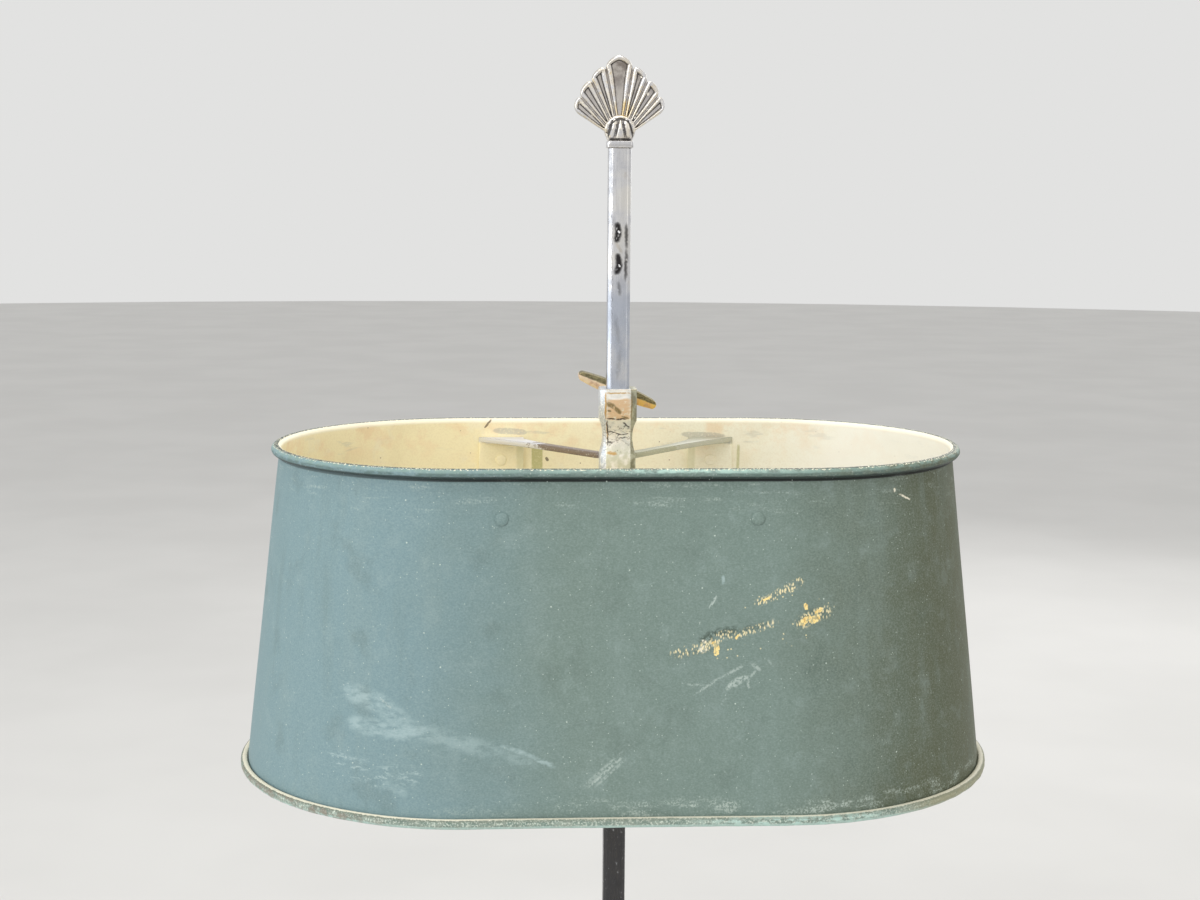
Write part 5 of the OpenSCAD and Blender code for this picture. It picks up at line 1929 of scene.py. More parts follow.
@dataclass
class Shade:
    """Oval painted sheet, rolled outwards round a wire at its top and bottom, with its rivets."""

    steps_end: int = 116
    steps_side: int = 46
    rows_wall: int = 44
    bead_steps: int = 30
    hem_steps: int = 20
    inside_steps: int = 7
    head_rows: int = 9
    head_steps: int = 28
    hem_opening: float = 55.0
    wire_gap: float = 0.05
    wobble: float = 0.4
    hand_rise: float = 0.16
    worn_rise: float = 0.4
    worn_from: float = 100.0
    worn_full: float = 135.0
    low_inset: float = 0.4
    rivet_x: float = 52.0
    rivet_below: float = 18.2
    rivet_r: float = 2.8
    rivet_h: float = 0.95
    tab_t: float = 2.4

    def __post_init__(self) -> None:
        """Works the sheet's shape out from its wires and its box."""
        top_low, top_high = box_mm("top_rim_wire")
        foot_low, foot_high = box_mm("bottom_rim_wire")
        wire_r = (top_high.z - top_low.z) / 2
        self.rim_z = (top_high.z + top_low.z) / 2
        self.foot_z = (foot_high.z + foot_low.z) / 2
        self.radius = top_high.y - wire_r
        self.half = top_high.x - top_high.y
        self.bead_r = box_mm("shade_shell")[1].z - self.rim_z
        self.inner_r = wire_r + self.wire_gap
        flare = foot_high.y - top_high.y
        drop = self.rim_z - self.foot_z
        self.wall = math.hypot(flare, drop)
        self.lean = math.atan2(flare, drop)

    def at(self, down: float, out: float) -> Flat:
        """Gives the radius and the height of a place on the wall's section."""
        radius = self.radius + out * math.cos(self.lean) + down * math.sin(self.lean)
        return radius, self.rim_z + out * math.sin(self.lean) - down * math.cos(self.lean)

    def section(self) -> list[tuple[float, float, int]]:
        """Lists the sheet's section as depth down the wall, distance outwards and finish.

        Returns:
            The points of one closed loop. The finish is that of the stretch after the point:
            0 outside, 1 inside, 2 bead, 3 cut edge.
        """
        turn = 360 - self.hem_opening
        bead, inner, wall = self.bead_r, self.inner_r, self.wall
        points: list[tuple[float, float, int]] = []
        for v, up in arc((0.0, 0.0), bead, 180 + turn, 180, self.bead_steps):
            points.append((wall - up, v, 2))
        for i in range(1, self.rows_wall):
            points.append((wall * (1 - i / self.rows_wall), -bead, 1))
        for i, (v, up) in enumerate(arc((0.0, 0.0), bead, 180, 180 - turn, self.bead_steps)):
            points.append((-up, v, 1 if i < self.inside_steps else 2))
        points[-1] = (*points[-1][:2], 3)
        for v, up in arc((0.0, 0.0), inner, 180 - turn, 180, self.hem_steps):
            points.append((-up, v, 0))
        for i in range(1, self.rows_wall):
            points.append((wall * i / self.rows_wall, -inner, 0))
        for v, up in arc((0.0, 0.0), inner, 180, 180 + turn, self.hem_steps):
            points.append((wall - up, v, 0))
        points[-1] = (*points[-1][:2], 3)
        return points

    def columns(self) -> list[tuple[float, float]]:
        """Lists the sheet's columns round the oval.

        Returns:
            Place of the end's centre and angle of the plan's normal.
        """
        columns: list[tuple[float, float]] = []
        for side in (1, -1):
            base = -90.0 if side > 0 else 90.0
            for i in range(self.steps_end):
                columns.append((side * self.half, base + 180 * i / self.steps_end))
            for i in range(self.steps_side):
                columns.append((side * self.half * (1 - 2 * i / self.steps_side), base + 180))
        return columns

    def dent(self, x: float, y: float, z: float, near_bead: float) -> float:
        """Gives how far the sheet stands out from its true shape.

        Args:
            x: Place along the shade.
            y: Place across it.
            z: Height.
            near_bead: 1 at a bead and 0 on the wall.

        Returns:
            The offset along the plan's normal.
        """
        away = min(math.hypot(abs(x) - self.rivet_x, z - self.rim_z + self.rivet_below) / 30, 1.0)
        broad = noise.noise(Vector((x / 62, y / 62, z / 80)))
        hand = noise.noise(Vector((x / 13, y / 13, z / 13 + 7)))
        rough = noise.noise(Vector((x / 4.5, y / 4.5, z / 4.5 + 3)))
        low = smooth_step(self.rim_z - z, self.worn_from, self.worn_full)
        uneven = self.hand_rise * hand + self.worn_rise * rough * low
        stand = self.wobble * broad * away + near_bead * uneven
        return min(0.0, stand - self.low_inset) if near_bead * low > 0.5 else stand

    def sheet(self, finishes: Sequence[Finish]) -> None:
        """Rolls the sheet.

        Args:
            finishes: Outside, inside, bead and cut edge.
        """
        former = Former()
        columns = self.columns()
        section = self.section()
        rows = []
        for down, out, _ in section:
            radius, z = self.at(down, out)
            near = 1.0 if down < 1 or down > self.wall - 1 else 0.0
            ring = []
            for centre, angle in columns:
                turn = math.radians(angle)
                x, y = centre + radius * math.cos(turn), radius * math.sin(turn)
                stand = radius + self.dent(x, y, z, near)
                ring.append((centre + stand * math.cos(turn), stand * math.sin(turn), z))
            rows.append(former.row(ring))
        for i, (_, _, finish) in enumerate(section):
            former.strip(rows[i], rows[(i + 1) % len(rows)], finish=finish)
        names = ["shade_shell"]
        former.piece("shade_sheet", "shade_carrier", "tole_paint", finishes, replaces=names, crease=60)

    def rivets(self, outside: Finish, inside: Finish) -> None:
        """Makes the four rivets with a low painted head on each side of the wall.

        Args:
            outside: Finish of the outer heads.
            inside: Finish of the inner heads and shanks.
        """
        former = Former()
        down = self.rivet_below / math.cos(self.lean)
        faces = ((-self.inner_r, 1, 0), (-self.bead_r - self.wire_gap - self.tab_t, -1, 1))
        for x_side in (-1, 1):
            for y_side in (-1, 1):
                for out, way, finish in faces:
                    radius, z = self.at(down, out)
                    seat = Vector((x_side * self.rivet_x, y_side * radius, z))
                    axis = Vector((0.0, y_side * math.cos(self.lean), math.sin(self.lean))) * way
                    self.head(former, seat, axis, finish)
        names, finishes = ["shade_rivets"], [outside, inside]
        former.piece("rivet_heads", "shade_carrier", "tole_paint", finishes, replaces=names, crease=70)

    def head(self, former: Former, seat: Vector, axis: Vector, finish: int) -> None:
        """Forms one low domed head with a faint flat on its top.

        Args:
            former: Takes the points and faces.
            seat: Middle of the head's foot.
            axis: Direction in which it stands up.
            finish: Number of its finish.
        """
        side = axis.orthogonal().normalized()
        other = axis.cross(side)
        turns = [math.pi / 2 * i / self.head_rows for i in range(self.head_rows)]
        dome = [(self.rivet_r * math.cos(t), self.rivet_h * math.sin(t) ** 0.8) for t in turns]
        outline = [(self.rivet_r, -0.4), *dome, (0.02, self.rivet_h)]
        rows = []
        for radius, height in outline:
            ring = []
            for k in range(self.head_steps):
                turn = 2 * math.pi * k / self.head_steps
                reach = radius * (1 + 0.02 * math.sin(3 * turn + seat.x))
                point = seat + axis * height + reach * (math.cos(turn) * side + math.sin(turn) * other)
                ring.append(tuple(point))
            rows.append(former.row(ring))
        former.skin(rows, finish=finish)
        former.face(rows[0], finish)
        former.face(rows[-1], finish)

    def build(self, skins: Skins, steel: Finish) -> list[str]:
        """Makes the shade.

        Args:
            skins: Dresses the wires.
            steel: Finish of the wires.

        Returns:
            Names of the pieces and nodes.
        """
        outside = TolePaint("tole_outside", self.rim_z, self.foot_z, marks=shade_marks()).material()
        bead = TolePaint("tole_bead", self.rim_z, self.foot_z, bead=True).material()
        inside = CreamPaint("cream_inside", self.rim_z).material()
        self.sheet([outside, inside, bead, HemEdge().material()])
        self.rivets(outside, inside)
        wires = skins.dress_all({"top_rim_wire": (steel, 0.0), "bottom_rim_wire": (steel, 0.0)})
        return ["shade_sheet", "rivet_heads", *wires]


# ---- Carrier, clamp and key ----


@dataclass
class ShadeCarrier:
    """Clamp on the stem with the four straps that hold the shade."""

    skins: Skins
    rim_z: float
    strap_t: float = 2.4
    strap_fall: float = 3.0

    def clamp_marks(self) -> tuple[Mark, ...]:
        """Lists the marks on the clamp's front, in x and in height from the top bead.

        Returns:
            Rubbed brass, dark cracks and a painted highlight streak.
        """
        return marks_of([
            *(
                (MarkKind.BARE_BRASS, 1.7, 1.0, (-4.4, z), (4.7, z + 0.6))
                for z in (13.4, 15.2, 17.0, 18.8, 20.4)
            ),
            (MarkKind.OCHRE, 0.5, 0.9, (-5.8, 25), (-5.7, 12)),
            (MarkKind.OCHRE, 0.42, 0.8, (-5.2, 12), (-4.6, 2)),
            (MarkKind.OCHRE, 0.5, 0.8, (-6, 24.4), (5.6, 24.4)),
            (MarkKind.RUST, 1.25, 0.9, (-4.6, 19.4), (-2.4, 18.6), (-1.0, 17.4), (0.4, 16.2)),
            (MarkKind.RUST, 0.6, 0.8, (-4.6, 16.6), (-3.6, 16.2)),
            (MarkKind.RUST, 0.6, 0.8, (1.6, 13.8), (4.4, 13.4)),
            (MarkKind.TARNISH, 0.4, 0.9, (-5.2, 13.0), (-1, 12.6), (3.4, 12.9)),
            (MarkKind.RUST, 0.5, 0.7, (6.0, 24), (5.8, 12)),
            (MarkKind.TARNISH, 0.42, 0.8, (-5.0, 12.4), (-4.6, 5), (-4.7, 1)),
            (MarkKind.TARNISH, 0.34, 0.9, (-3.8, 7.0), (-1.6, 6.6), (1.4, 5.4), (4.6, 6.2)),
            (MarkKind.TARNISH, 0.4, 0.8, (2.2, 11.2), (4.0, 9.8), (4.9, 9.0)),
            (MarkKind.TARNISH, 0.32, 0.8, (2.4, 9.2), (3.6, 9.8)),
            (MarkKind.TARNISH, 0.3, 0.8, (-0.2, 4.0), (3.6, 4.4)),
            (MarkKind.TARNISH, 0.55, 0.7, (-4.6, 2.6), (-2.8, 2.0)),
            # painted highlight across the top of the clamp's face
            (MarkKind.PAINTED_GLINT, 0.8, 0.55, (-4.4, 22.4), (0, 21.8), (4.4, 22.8)),
            (MarkKind.OCHRE, 1.0, 0.8, (-4.4, -2.4), (-1.2, -2.9)),
        ])

    def build(self) -> list[str]:
        """Dresses the clamp and the straps.

        Returns:
            Names of the nodes.
        """
        clamp = ClampPlate(self.rim_z, self.clamp_marks())
        self.skins.dress("clamp_body", clamp.material(), 0.35)
        straps = []
        for end, fall in (("front", 0.0), ("back", self.strap_fall)):
            low = box_mm(f"{end}_left_strut")[1].z - fall - self.strap_t
            strap = CreamPaint(f"{end}_strap_paint", self.rim_z, tab=True, strap_low=low).material()
            for side in ("left", "right"):
                straps.append(f"{end}_{side}_strut")
                self.skins.dress(straps[-1], strap, 0.3)
        return ["clamp_body", *straps]


@dataclass
class ClampKey:
    """Brass key with its screw, and the shoe that presses on the stem."""

    skins: Skins
    brass: Finish
    tilt: float = 22.0

    def build(self) -> list[str]:
        """Dresses the key and its shoe.

        Returns:
            Names of the nodes.
        """
        low, high = box_mm("clamp_key")
        wing = OldBrass("key_brass", wing_z=(low.z + high.z) / 2, wing_tilt=self.tilt)
        return self.skins.dress_all({
            "clamp_key": (wing.material(), 0.5), "pressure_shoe": (self.brass, 0.15),
        })


# ---- Stem ----


@dataclass
class Stem:
    """Square silvered stem with its cap, and what stands in it."""

    skins: Skins
    plate: Finish
    brass: Finish
    lead: Finish
    rim_z: float
    foot_z: float

    def stem_marks(self) -> tuple[Mark, ...]:
        """Lists the marks on the stem's front, in x and in height from the top bead.

        Returns:
            Dark blotches with painted glints, painted shade lines along both chamfers, and a stripe on the
            right chamfer below the shade that is worn plate with a painted highlight.
        """
        return marks_of([
            (MarkKind.TARNISH, 1.9, 1.0, (-1.0, 98), (-0.4, 95.4), (-1.2, 92)),
            (MarkKind.TARNISH, 1.9, 1.0, (-0.6, 84.6), (0.0, 81), (-1.0, 78)),
            # painted shade along the right chamfer's edge
            (MarkKind.TARNISH, 1.1, 0.7, (2.9, 99), (3.1, 88), (2.8, 74)),
            (MarkKind.TARNISH, 1.2, 0.5, (-0.4, 73), (0.4, 68)),
            (MarkKind.RUST, 1.3, 0.35, (-1.6, 90.4), (0.8, 86.6)),
            # painted glints in the dark blotches
            (MarkKind.PAINTED_GLINT, 0.5, 0.9, (-0.4, 95.7), (-0.2, 95.2)),
            (MarkKind.PAINTED_GLINT, 0.45, 0.9, (0.0, 80.9), (0.2, 80.5)),
            # painted shade line along the left chamfer's edge, the whole length of the stem
            (MarkKind.TARNISH, 0.35, 0.45, (-3.3, 128), (-3.2, 40)),
            (MarkKind.TARNISH, 1.5, 0.3, (-1.8, 60), (0.6, 44), (-0.6, 30)),
            # stripe on the right chamfer below the shade: worn plate with a painted highlight
            (MarkKind.BARE_BRASS, 0.5, 0.9, (4.5, -146), (4.5, -157)),
        ])

    def build(self) -> list[str]:
        """Dresses the stem.

        Returns:
            Names of the nodes.
        """
        marks = self.stem_marks()
        look = SilverPlate(
            "stem_plate", 0.4, 0.8, level=self.rim_z, cool=0.8, painted_shade_below=self.foot_z, marks=marks
        )
        face = look.material()
        return self.skins.dress_all({
            "stem_tube": (face, 0.3), "stem_cap": (self.plate, 0.35),
            "stem_nipple": (self.brass, 0.0), "stem_leads": (self.lead, 0.0),
        })


# ---- Light unit ----


@dataclass
class LightFinishes:
    """Finishes that both candle arms share."""

    plate: Finish
    brass: Finish
    steel: Finish
    phenolic: Finish
    lead: Finish
    card: Finish
    glass: Finish
    wire: Finish


@dataclass
class CandleArm:
    """One candle: arm, drip pan, cup, sleeve with wax, holder and bulb."""

    side: str
    skins: Skins
    finishes: LightFinishes
    drips: tuple[Flat, ...] = ((20, 16), (75, 30), (118, 12), (170, 22), (232, 38), (285, 18), (335, 26))
    reeds: int = 28
    bore: float = 5.05
    pan_bead: float = 0.95
    pan_round: int = 96
    cup_floor: float = 2.0
    cup_round: int = 224
    reed_depth: float = 0.5
    sleeve_wall: float = 1.0
    sleeve_rows: int = 70
    sleeve_round: int = 144
    film_t: float = 0.75
    drip_t: float = 1.15
    glass_t: float = 0.8
    glass_steps: int = 64
    glass_round: int = 72
    post_r: float = 0.32
    wire_r: float = 0.13
    arch: float = 5.0
    coil_r: float = 0.42
    coil_turns: int = 26
    coil_steps: int = 260

    def __post_init__(self) -> None:
        """Finds the candle's axis in the frame."""
        low, high = self.box("candle_sleeve")
        self.centre: Flat = ((low.x + high.x) / 2, (low.y + high.y) / 2)
        self.sleeve_r = (high.x - low.x) / 2
        self.sleeve_top = high.z
        self.turn = 0.0 if self.side == "right" else 137.0

    def box(self, node: str) -> tuple[Vector, Vector]:
        """Gives the lowest and the highest corner of one of this candle's nodes."""
        return box_mm(f"{self.side}_{node}")

    def make(self, former: Former, name: str, node: str, slot: str, finish: Finish) -> None:
        """Makes one of this candle's pieces in the place of its node."""
        former.piece(f"{self.side}_{name}", "base", slot, [finish], replaces=[f"{self.side}_{node}"])

    def pan(self) -> None:
        """Turns the drip pan with a rolled rim."""
        low, high = self.box("drip_pan")
        reach = (high.x - low.x) / 2
        base, top = low.z, high.z
        bead, bore = self.pan_bead, self.bore
        under = [(bore, base), (9.0, base), (12.5, base + 0.3), (16.0, base + 1.1), (18.6, base + 2.3)]
        rim = arc((reach - bead, top - bead), bead, -110, 150, 14)
        over = [(18.4, base + 3.3), (15.8, base + 2.1), (12.4, base + 1.3)]
        over += [(9.0, base + 1.0), (bore, base + 1.0)]
        former = Former()
        former.lathe(under + rim + over, self.pan_round, self.centre)
        self.make(former, "pan", "drip_pan", "silver_plate", self.finishes.plate)

    def cup(self) -> None:
        """Turns the candle cup and cuts its reeds."""
        low, high = self.box("candle_cup")
        base, top = low.z, high.z
        inside = self.sleeve_r + 0.05
        lip = (high.x - low.x) / 2
        bore, floor = self.bore, self.cup_floor
        body = arc((inside - 4, base + 7.2), 6.6, -66, 48, 16)
        neck = [(inside - 0.3 + 0.45, top - 3.2), (lip - 1.0, top - 2.6)]
        rim = arc((lip - 0.8, top - 0.9), 0.85, -90, 90, 8)
        inner = [(inside, top), (inside, base + floor), (bore, base + floor)]
        foot = [(bore, base), (8.0, base), (8.4, base + 0.7)]

        def reed(turn: float, radius: float, height: float) -> float:
            """Gives how far the reeds lie in, on the belly alone.

            Args:
                turn: Angle round the cup.
                radius: Radius of the cup's surface.
                height: Height on the candle.

            Returns:
                What is added to the radius.
            """
            belly = smooth_step(height, base + 1.5, base + 3.5) * smooth_step(height, top - 3.2, top - 4.6)
            depth = self.reed_depth * belly * abs(math.sin(self.reeds * turn / 2)) ** 0.6
            return -depth if radius > inside - 3 else 0.0

        former = Former()
        former.lathe(foot + body + neck + rim + inner, self.cup_round, self.centre, swell=reed)
        self.make(former, "cup", "candle_cup", "silver_plate", self.finishes.plate)

    def sleeve(self) -> None:
        """Forms the card sleeve with wax that has run down from its top."""
        low, high = self.box("candle_sleeve")
        radius, wall = self.sleeve_r, self.sleeve_wall
        length = high.z - low.z
        outer = [(radius, low.z + length * i / self.sleeve_rows) for i in range(self.sleeve_rows)]
        rim = arc((radius - wall / 2, high.z - wall / 2), wall / 2, 0, 180, 8)
        inner = [(radius - wall, high.z - 2), (radius - wall, low.z)]

        def wax(turn: float, at: float, height: float) -> float:
            """Gives how thick the wax lies on the sleeve.

            Args:
                turn: Angle round the candle.
                at: Radius of the sleeve's surface.
                height: Height on the candle.

            Returns:
                The thickness.
            """
            if at < radius - 0.9 * wall:
                return 0.0
            depth = high.z - height
            thick = self.film_t * smooth_step(depth, 5.5 + math.sin(3 * turn + self.turn), 2.0)
            for angle, drop in self.drips:
                away = math.radians((math.degrees(turn) - angle - self.turn + 180) % 360 - 180) * radius
                half = 1.5 + 0.5 * smooth_step(depth, drop - 6, drop - 1)
                across = math.sqrt(max(0.0, 1 - (away / half) ** 2))
                thick = max(thick, self.drip_t * across * smooth_step(depth, drop, drop - 2.2))
            return thick

        former = Former()
        former.lathe(outer + rim + inner, self.sleeve_round, self.centre, swell=wax)
        self.make(former, "sleeve", "candle_sleeve", "candle_card", self.finishes.card)

    def bulb(self) -> None:
        """Blows the candle bulb's glass."""
        low, high = self.box("bulb_glass")
        cap_low, cap_high = self.box("bulb_cap")
        neck = (cap_high.x - cap_low.x) / 2 - 0.4
        wide = (high.x - low.x) / 2
        length = high.z - low.z
        neck_share = (self.sleeve_top + 1 - low.z) / length

        def radius(share: float, inset: float) -> float:
            """Gives the glass's radius at a share of its length.

            Args:
                share: Share of the length from the foot.
                inset: Thickness taken off.

            Returns:
                The radius.
            """
            s = max(0.0, (share - neck_share) / (1 - neck_share))
            swell = max(0.0, math.sin(math.pi * s ** 0.72)) ** 1.1
            return max(0.0, neck * (1 - s ** 2.2) + (wide - 0.9 * neck) * swell * 0.985 - inset)

        steps = self.glass_steps
        outer = [(radius(i / steps, 0.0), low.z + length * i / steps) for i in range(steps + 1)]
        reach = length - 3 * self.glass_t
        inner = [(radius(i / steps, self.glass_t), low.z + reach * i / steps) for i in range(steps, -1, -1)]
        former = Former()
        former.lathe(outer + inner, self.glass_round, self.centre)
        self.make(former, "envelope", "bulb_glass", "bulb_glass", self.finishes.glass)

    def filament(self) -> None:
        """Bends the filament's stem, posts and coiled wire."""
        low, high = self.box("filament")
        middle = Vector((*self.centre, 0.0))
        former = Former()
        stem = ((0.0, 0), (3.0, 0), (2.6, 4), (1.1, 9), (1.4, 12), (0.0, 12.4))
        former.lathe([(radius, low.z + height) for radius, height in stem], 24, self.centre, loop=False)
        arch_z = high.z - self.arch
        post = ((0.8, low.z + 11), (2.4, low.z + 14), (4.4, low.z + 19), (self.arch, arch_z))
        for side in (-1, 1):
            former.tube([middle + Vector((side * reach, 0, height)) for reach, height in post], self.post_r)
        coil = []
        for i in range(self.coil_steps + 1):
            share = i / self.coil_steps
            around = math.pi * (1 - share)
            spin = 2 * math.pi * self.coil_turns * share
            reach = self.arch + self.coil_r * math.cos(spin)
            height = arch_z + (reach - 0.4) * math.sin(around)
            coil.append(middle + Vector((reach * math.cos(around), self.coil_r * math.sin(spin), height)))
        former.tube(coil, self.wire_r, 5)
        self.make(former, "wire", "filament", "steel", self.finishes.wire)

    def build(self) -> list[str]:
        """Makes and dresses the whole candle.

        Returns:
            Names of the pieces and nodes.
        """
        self.pan()
        self.cup()
        self.sleeve()
        self.bulb()
        self.filament()
        own = self.finishes
        dressed = {
            "arm": (own.plate, 0.0), "arm_lead": (own.lead, 0.0), "socket_nipple": (own.steel, 0.1),
            "lampholder": (own.phenolic, 0.3), "screw_shell": (own.brass, 0.1),
            "centre_contact": (own.brass, 0.1), "bulb_cap": (own.brass, 0.3),
        }
        made = [f"{self.side}_{name}" for name in ("pan", "cup", "sleeve", "envelope", "wire")]
        return made + self.skins.dress_all({f"{self.side}_{node}": look for node, look in dressed.items()})


@dataclass
class Hub:
    """Hub that carries the arms on the stem, with its set screw."""

    skins: Skins
    finishes: LightFinishes

    def build(self) -> list[str]:
        """Dresses the hub and gives the names of its nodes."""
        own = self.finishes
        return self.skins.dress_all({"arm_hub": (own.plate, 0.2), "hub_set_screw": (own.brass, 0.15)})


# ---- Base ----


@dataclass
class Base:
    """Oval dish base with its pedestal, weight, cover, felt and wiring."""

    skins: Skins
    plate: Finish
    finishes: LightFinishes

    def build(self) -> list[str]:
        """Dresses the base.

        Returns:
            Names of the nodes.
        """
        iron = PlainMetal("cast_iron", paint(96, 96, 98), 0.55, cast=1.0).material()
        own = self.finishes
        return self.skins.dress_all({
            "base_shell": (self.plate, 0.5), "dish_gallery": (self.plate, 0.3),
            "pedestal": (self.plate, 0.4), "stem_socket": (self.plate, 0.4),
            "base_weight": (iron, 0.6), "base_cover_plate": (own.steel, 0.2),
            "cover_screws": (own.steel, 0.15), "stem_washer": (own.steel, 0.1), "stem_nut": (own.brass, 0.3),
            "felt_pad": (Felt().material(), 0.5), "terminal_block": (Ceramic().material(), 0.4),
        })


@dataclass
class Switch:
    """Rotary switch in the dish, with its leads."""

    skins: Skins
    finishes: LightFinishes

    def build(self) -> list[str]:
        """Dresses the switch.

        Returns:
            Names of the nodes.
        """
        own = self.finishes
        return self.skins.dress_all({
            "switch_knob": (own.brass, 0.15), "switch_ring_nut": (own.brass, 0.25),
            "switch_body": (own.phenolic, 0.3), "switch_leads": (own.lead, 0.0),
        })


@dataclass
class CordOutlet:
    """Gland at the back of the base, with its nut."""

    skins: Skins
    brass: Finish

    def build(self) -> list[str]:
        """Dresses the gland and gives the names of its nodes."""
        return self.skins.dress_all({"cord_gland": (self.brass, 0.3), "gland_nut": (self.brass, 0.2)})


# ---- Studio ----


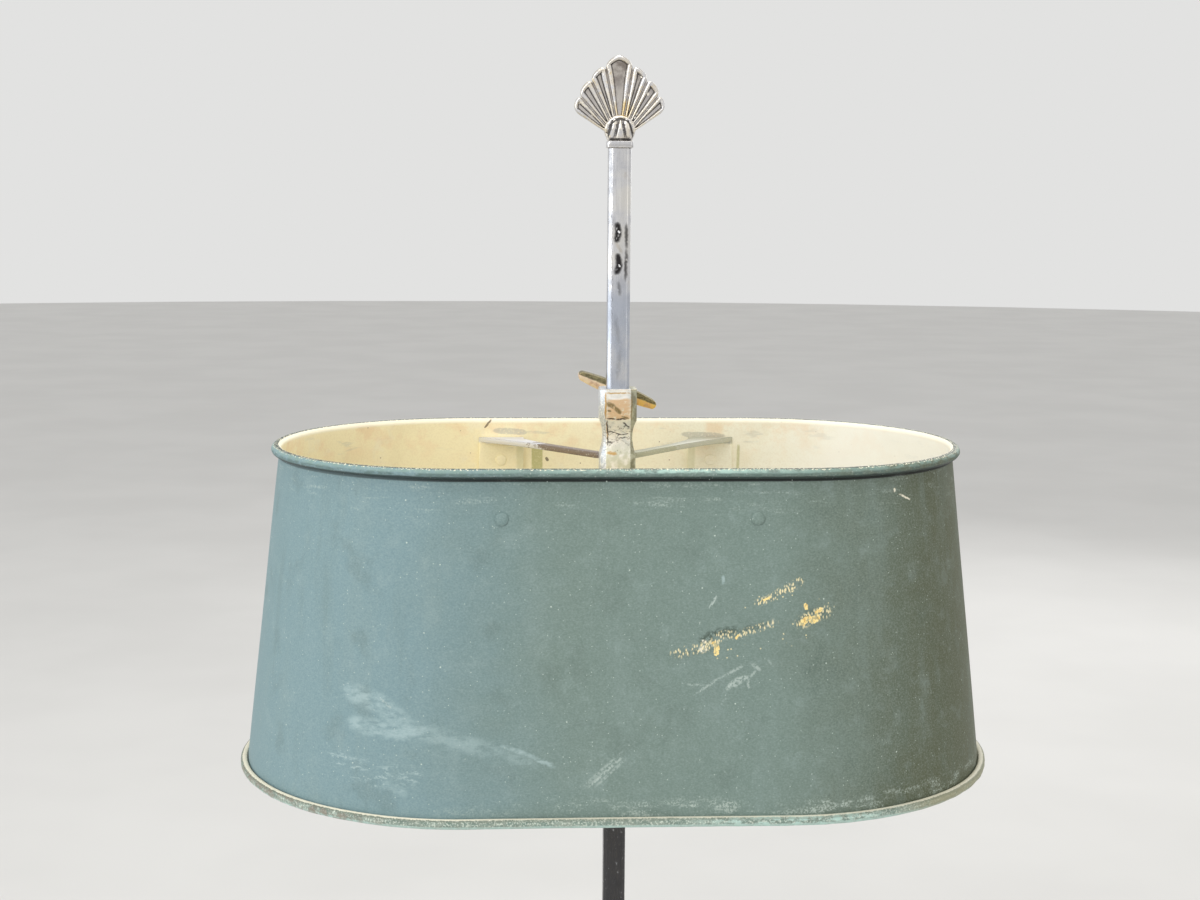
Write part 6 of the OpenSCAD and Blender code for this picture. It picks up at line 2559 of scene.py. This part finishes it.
@dataclass
class Studio:
    """Pale floor and sky, soft lamps and the photograph's camera."""

    focal_px: float = 1803.0
    frame_px: float = 1200.0
    sensor: float = 36.0
    eye: Point = (-53.45, -802.06, 558.2)
    look_down: float = 7.964
    turn: float = -3.266
    roll: float = 0.401
    floor_radii: tuple[float, ...] = (0.001, 1.0, 4.0, 9.0)
    floor_steps: int = 64
    sky_light: float = 0.78
    sky_look: Tone = paint(226, 226, 225)

    def camera(self) -> None:
        """Places the camera where the photograph was taken."""
        data = bpy.data.cameras.new("camera")
        data.sensor_width = self.sensor
        data.lens = self.focal_px / self.frame_px * self.sensor
        data.clip_start = 0.01
        data.clip_end = 100
        camera = bpy.data.objects.new("camera", data)
        bpy.context.scene.collection.objects.link(camera)
        turn = Matrix.Rotation(math.radians(self.turn), 4, "Z")
        tilt = Matrix.Rotation(math.radians(90 - self.look_down), 4, "X")
        roll = Matrix.Rotation(math.radians(self.roll), 4, "Z")
        camera.matrix_world = Matrix.Translation(Vector(self.eye) * MM) @ turn @ tilt @ roll
        bpy.context.scene.camera = camera

    def floor(self) -> None:
        """Lays a pale round floor that can be seen through from below."""
        former = Former()
        turns = [2 * math.pi * i / self.floor_steps for i in range(self.floor_steps)]
        rings = []
        for radius in self.floor_radii:
            reach = radius * PER_METRE
            rings.append(former.row([(reach * math.cos(a), reach * math.sin(a), 0.0) for a in turns]))
        former.skin(rings)
        former.face(rings[0])
        mesh = bpy.data.meshes.new("floor")
        mesh.from_pydata([tuple(c * MM for c in p) for p in former.points], [], former.faces)
        mesh.flip_normals()
        floor = bpy.data.objects.new("floor", mesh)
        bpy.context.scene.collection.objects.link(floor)
        board = Board("floor")
        shade = board.noise(300, detail=3)
        colour = board.mix(board.ramp(shade, 0.3, 0.7), paint(207, 206, 203), paint(212, 211, 208))
        board.dress(Base_Color=colour, Roughness=0.8)
        clear = board.add("ShaderNodeBsdfTransparent")
        choose = board.add("ShaderNodeMixShader")
        below = board.add("ShaderNodeNewGeometry").outputs["Backfacing"]
        for socket, value in zip(choose.inputs, (below, board.shader.outputs[0], clear.outputs[0])):
            board.plug(socket, value)
        board.plug(board.output.inputs["Surface"], choose.outputs[0])
        mesh.materials.append(board.material)

    def sky(self) -> None:
        """Gives the world a plain soft light and a pale look."""
        world = bpy.data.worlds.new("sky")
        bpy.context.scene.world = world
        world.use_nodes = True
        nodes, links = world.node_tree.nodes, world.node_tree.links
        nodes.clear()
        path = nodes.new("ShaderNodeLightPath")
        seen = path.outputs["Is Camera Ray"]
        for name in ("Is Glossy Ray", "Is Transmission Ray"):
            either = nodes.new("ShaderNodeMath")
            either.operation = "MAXIMUM"
            links.new(seen, either.inputs[0])
            links.new(path.outputs[name], either.inputs[1])
            seen = either.outputs[0]
        light = nodes.new("ShaderNodeBackground")
        light.inputs["Color"].default_value = (1.0, 1.0, 1.0, 1.0)
        light.inputs["Strength"].default_value = self.sky_light
        look = nodes.new("ShaderNodeBackground")
        look.inputs["Color"].default_value = self.sky_look
        look.inputs["Strength"].default_value = 1.0
        choose = nodes.new("ShaderNodeMixShader")
        leave = nodes.new("ShaderNodeOutputWorld")
        for socket, value in zip(choose.inputs, (seen, light.outputs[0], look.outputs[0])):
            links.new(value, socket)
        links.new(choose.outputs[0], leave.inputs[0])

    def lamp(self, name: str, place: Point, aim: Point, size: float, power: float, tint: Point) -> None:
        """Hangs one soft square lamp.

        Args:
            name: Its name.
            place: Where it hangs, in metres.
            aim: What it points at, in metres.
            size: Its width in metres.
            power: Its power in watts.
            tint: Its colour.
        """
        data = bpy.data.lights.new(name, "AREA")
        data.energy = power
        data.size = size
        data.color = tint
        lamp = bpy.data.objects.new(name, data)
        lamp.location = place
        lamp.rotation_euler = (Vector(aim) - Vector(place)).to_track_quat("-Z", "Y").to_euler()
        bpy.context.scene.collection.objects.link(lamp)

    def build(self) -> list[str]:
        """Sets the studio up.

        Returns:
            Names of its things.
        """
        bpy.context.scene.view_settings.view_transform = "Standard"
        self.floor()
        self.sky()
        shade = (0.0, 0.0, 0.38)
        self.lamp("key_lamp", (-1.3, -1.7, 1.4), shade, 1.3, 17.0, (0.97, 0.98, 1.0))
        self.lamp("side_lamp", (-2.0, -0.2, 0.55), shade, 1.1, 6.5, (0.92, 0.97, 1.0))
        self.lamp("fill_lamp", (1.6, -1.2, 0.9), shade, 1.2, 2.5, (1.0, 0.96, 0.88))
        self.lamp("top_lamp", (0.0, -0.3, 2.1), (0.0, 0.0, 0.4), 1.0, 12.0, (1.0, 0.99, 0.96))
        self.lamp("back_lamp", (0.9, 1.7, 1.2), shade, 1.2, 9.0, (1.0, 1.0, 1.0))
        self.camera()
        return ["floor", "sky", "key_lamp", "side_lamp", "fill_lamp", "top_lamp", "back_lamp", "camera"]


def main() -> None:
    """Builds the lamp's sub-assemblies in order and reports each."""
    logging.basicConfig(level=logging.INFO, format="%(name)s: %(message)s")
    skins = Skins()
    shade = Shade()
    plate = SilverPlate("silver_plate").material()
    base_plate = SilverPlate("base_plate", 0.6, 0.45, polish_lines=EVEN).material()
    brass = OldBrass().material()
    steel = PlainMetal("steel").material()
    lead = LeadCover().material()
    sleeve_top = box_mm("left_candle_sleeve")[1].z
    finishes = LightFinishes(
        plate=plate, brass=brass, steel=steel, phenolic=Phenolic().material(), lead=lead,
        card=CandleCard(sleeve_top).material(), glass=BulbGlass().material(), wire=FilamentWire().material(),
    )
    finial_plate = FinialPlate(box_mm("stem_cap")[1].z).material()
    assemblies: list[tuple[str, Callable[[], list[str]]]] = [
        ("studio", Studio().build),
        ("finial", Finial(finial_plate).build),
        ("stem", Stem(skins, plate, brass, lead, shade.rim_z, shade.foot_z).build),
        ("shade", lambda: shade.build(skins, steel)),
        ("carrier", ShadeCarrier(skins, shade.rim_z).build),
        ("key", ClampKey(skins, brass).build),
        ("hub", Hub(skins, finishes).build),
        ("left candle", CandleArm("left", skins, finishes).build),
        ("right candle", CandleArm("right", skins, finishes).build),
        ("base", Base(skins, base_plate, finishes).build),
        ("switch", Switch(skins, finishes).build),
        ("cord outlet", CordOutlet(skins, brass).build),
    ]
    for name, build in assemblies:
        for piece in build():
            log.info("%s: %s", name, piece)


if __name__ == "__main__":
    main()
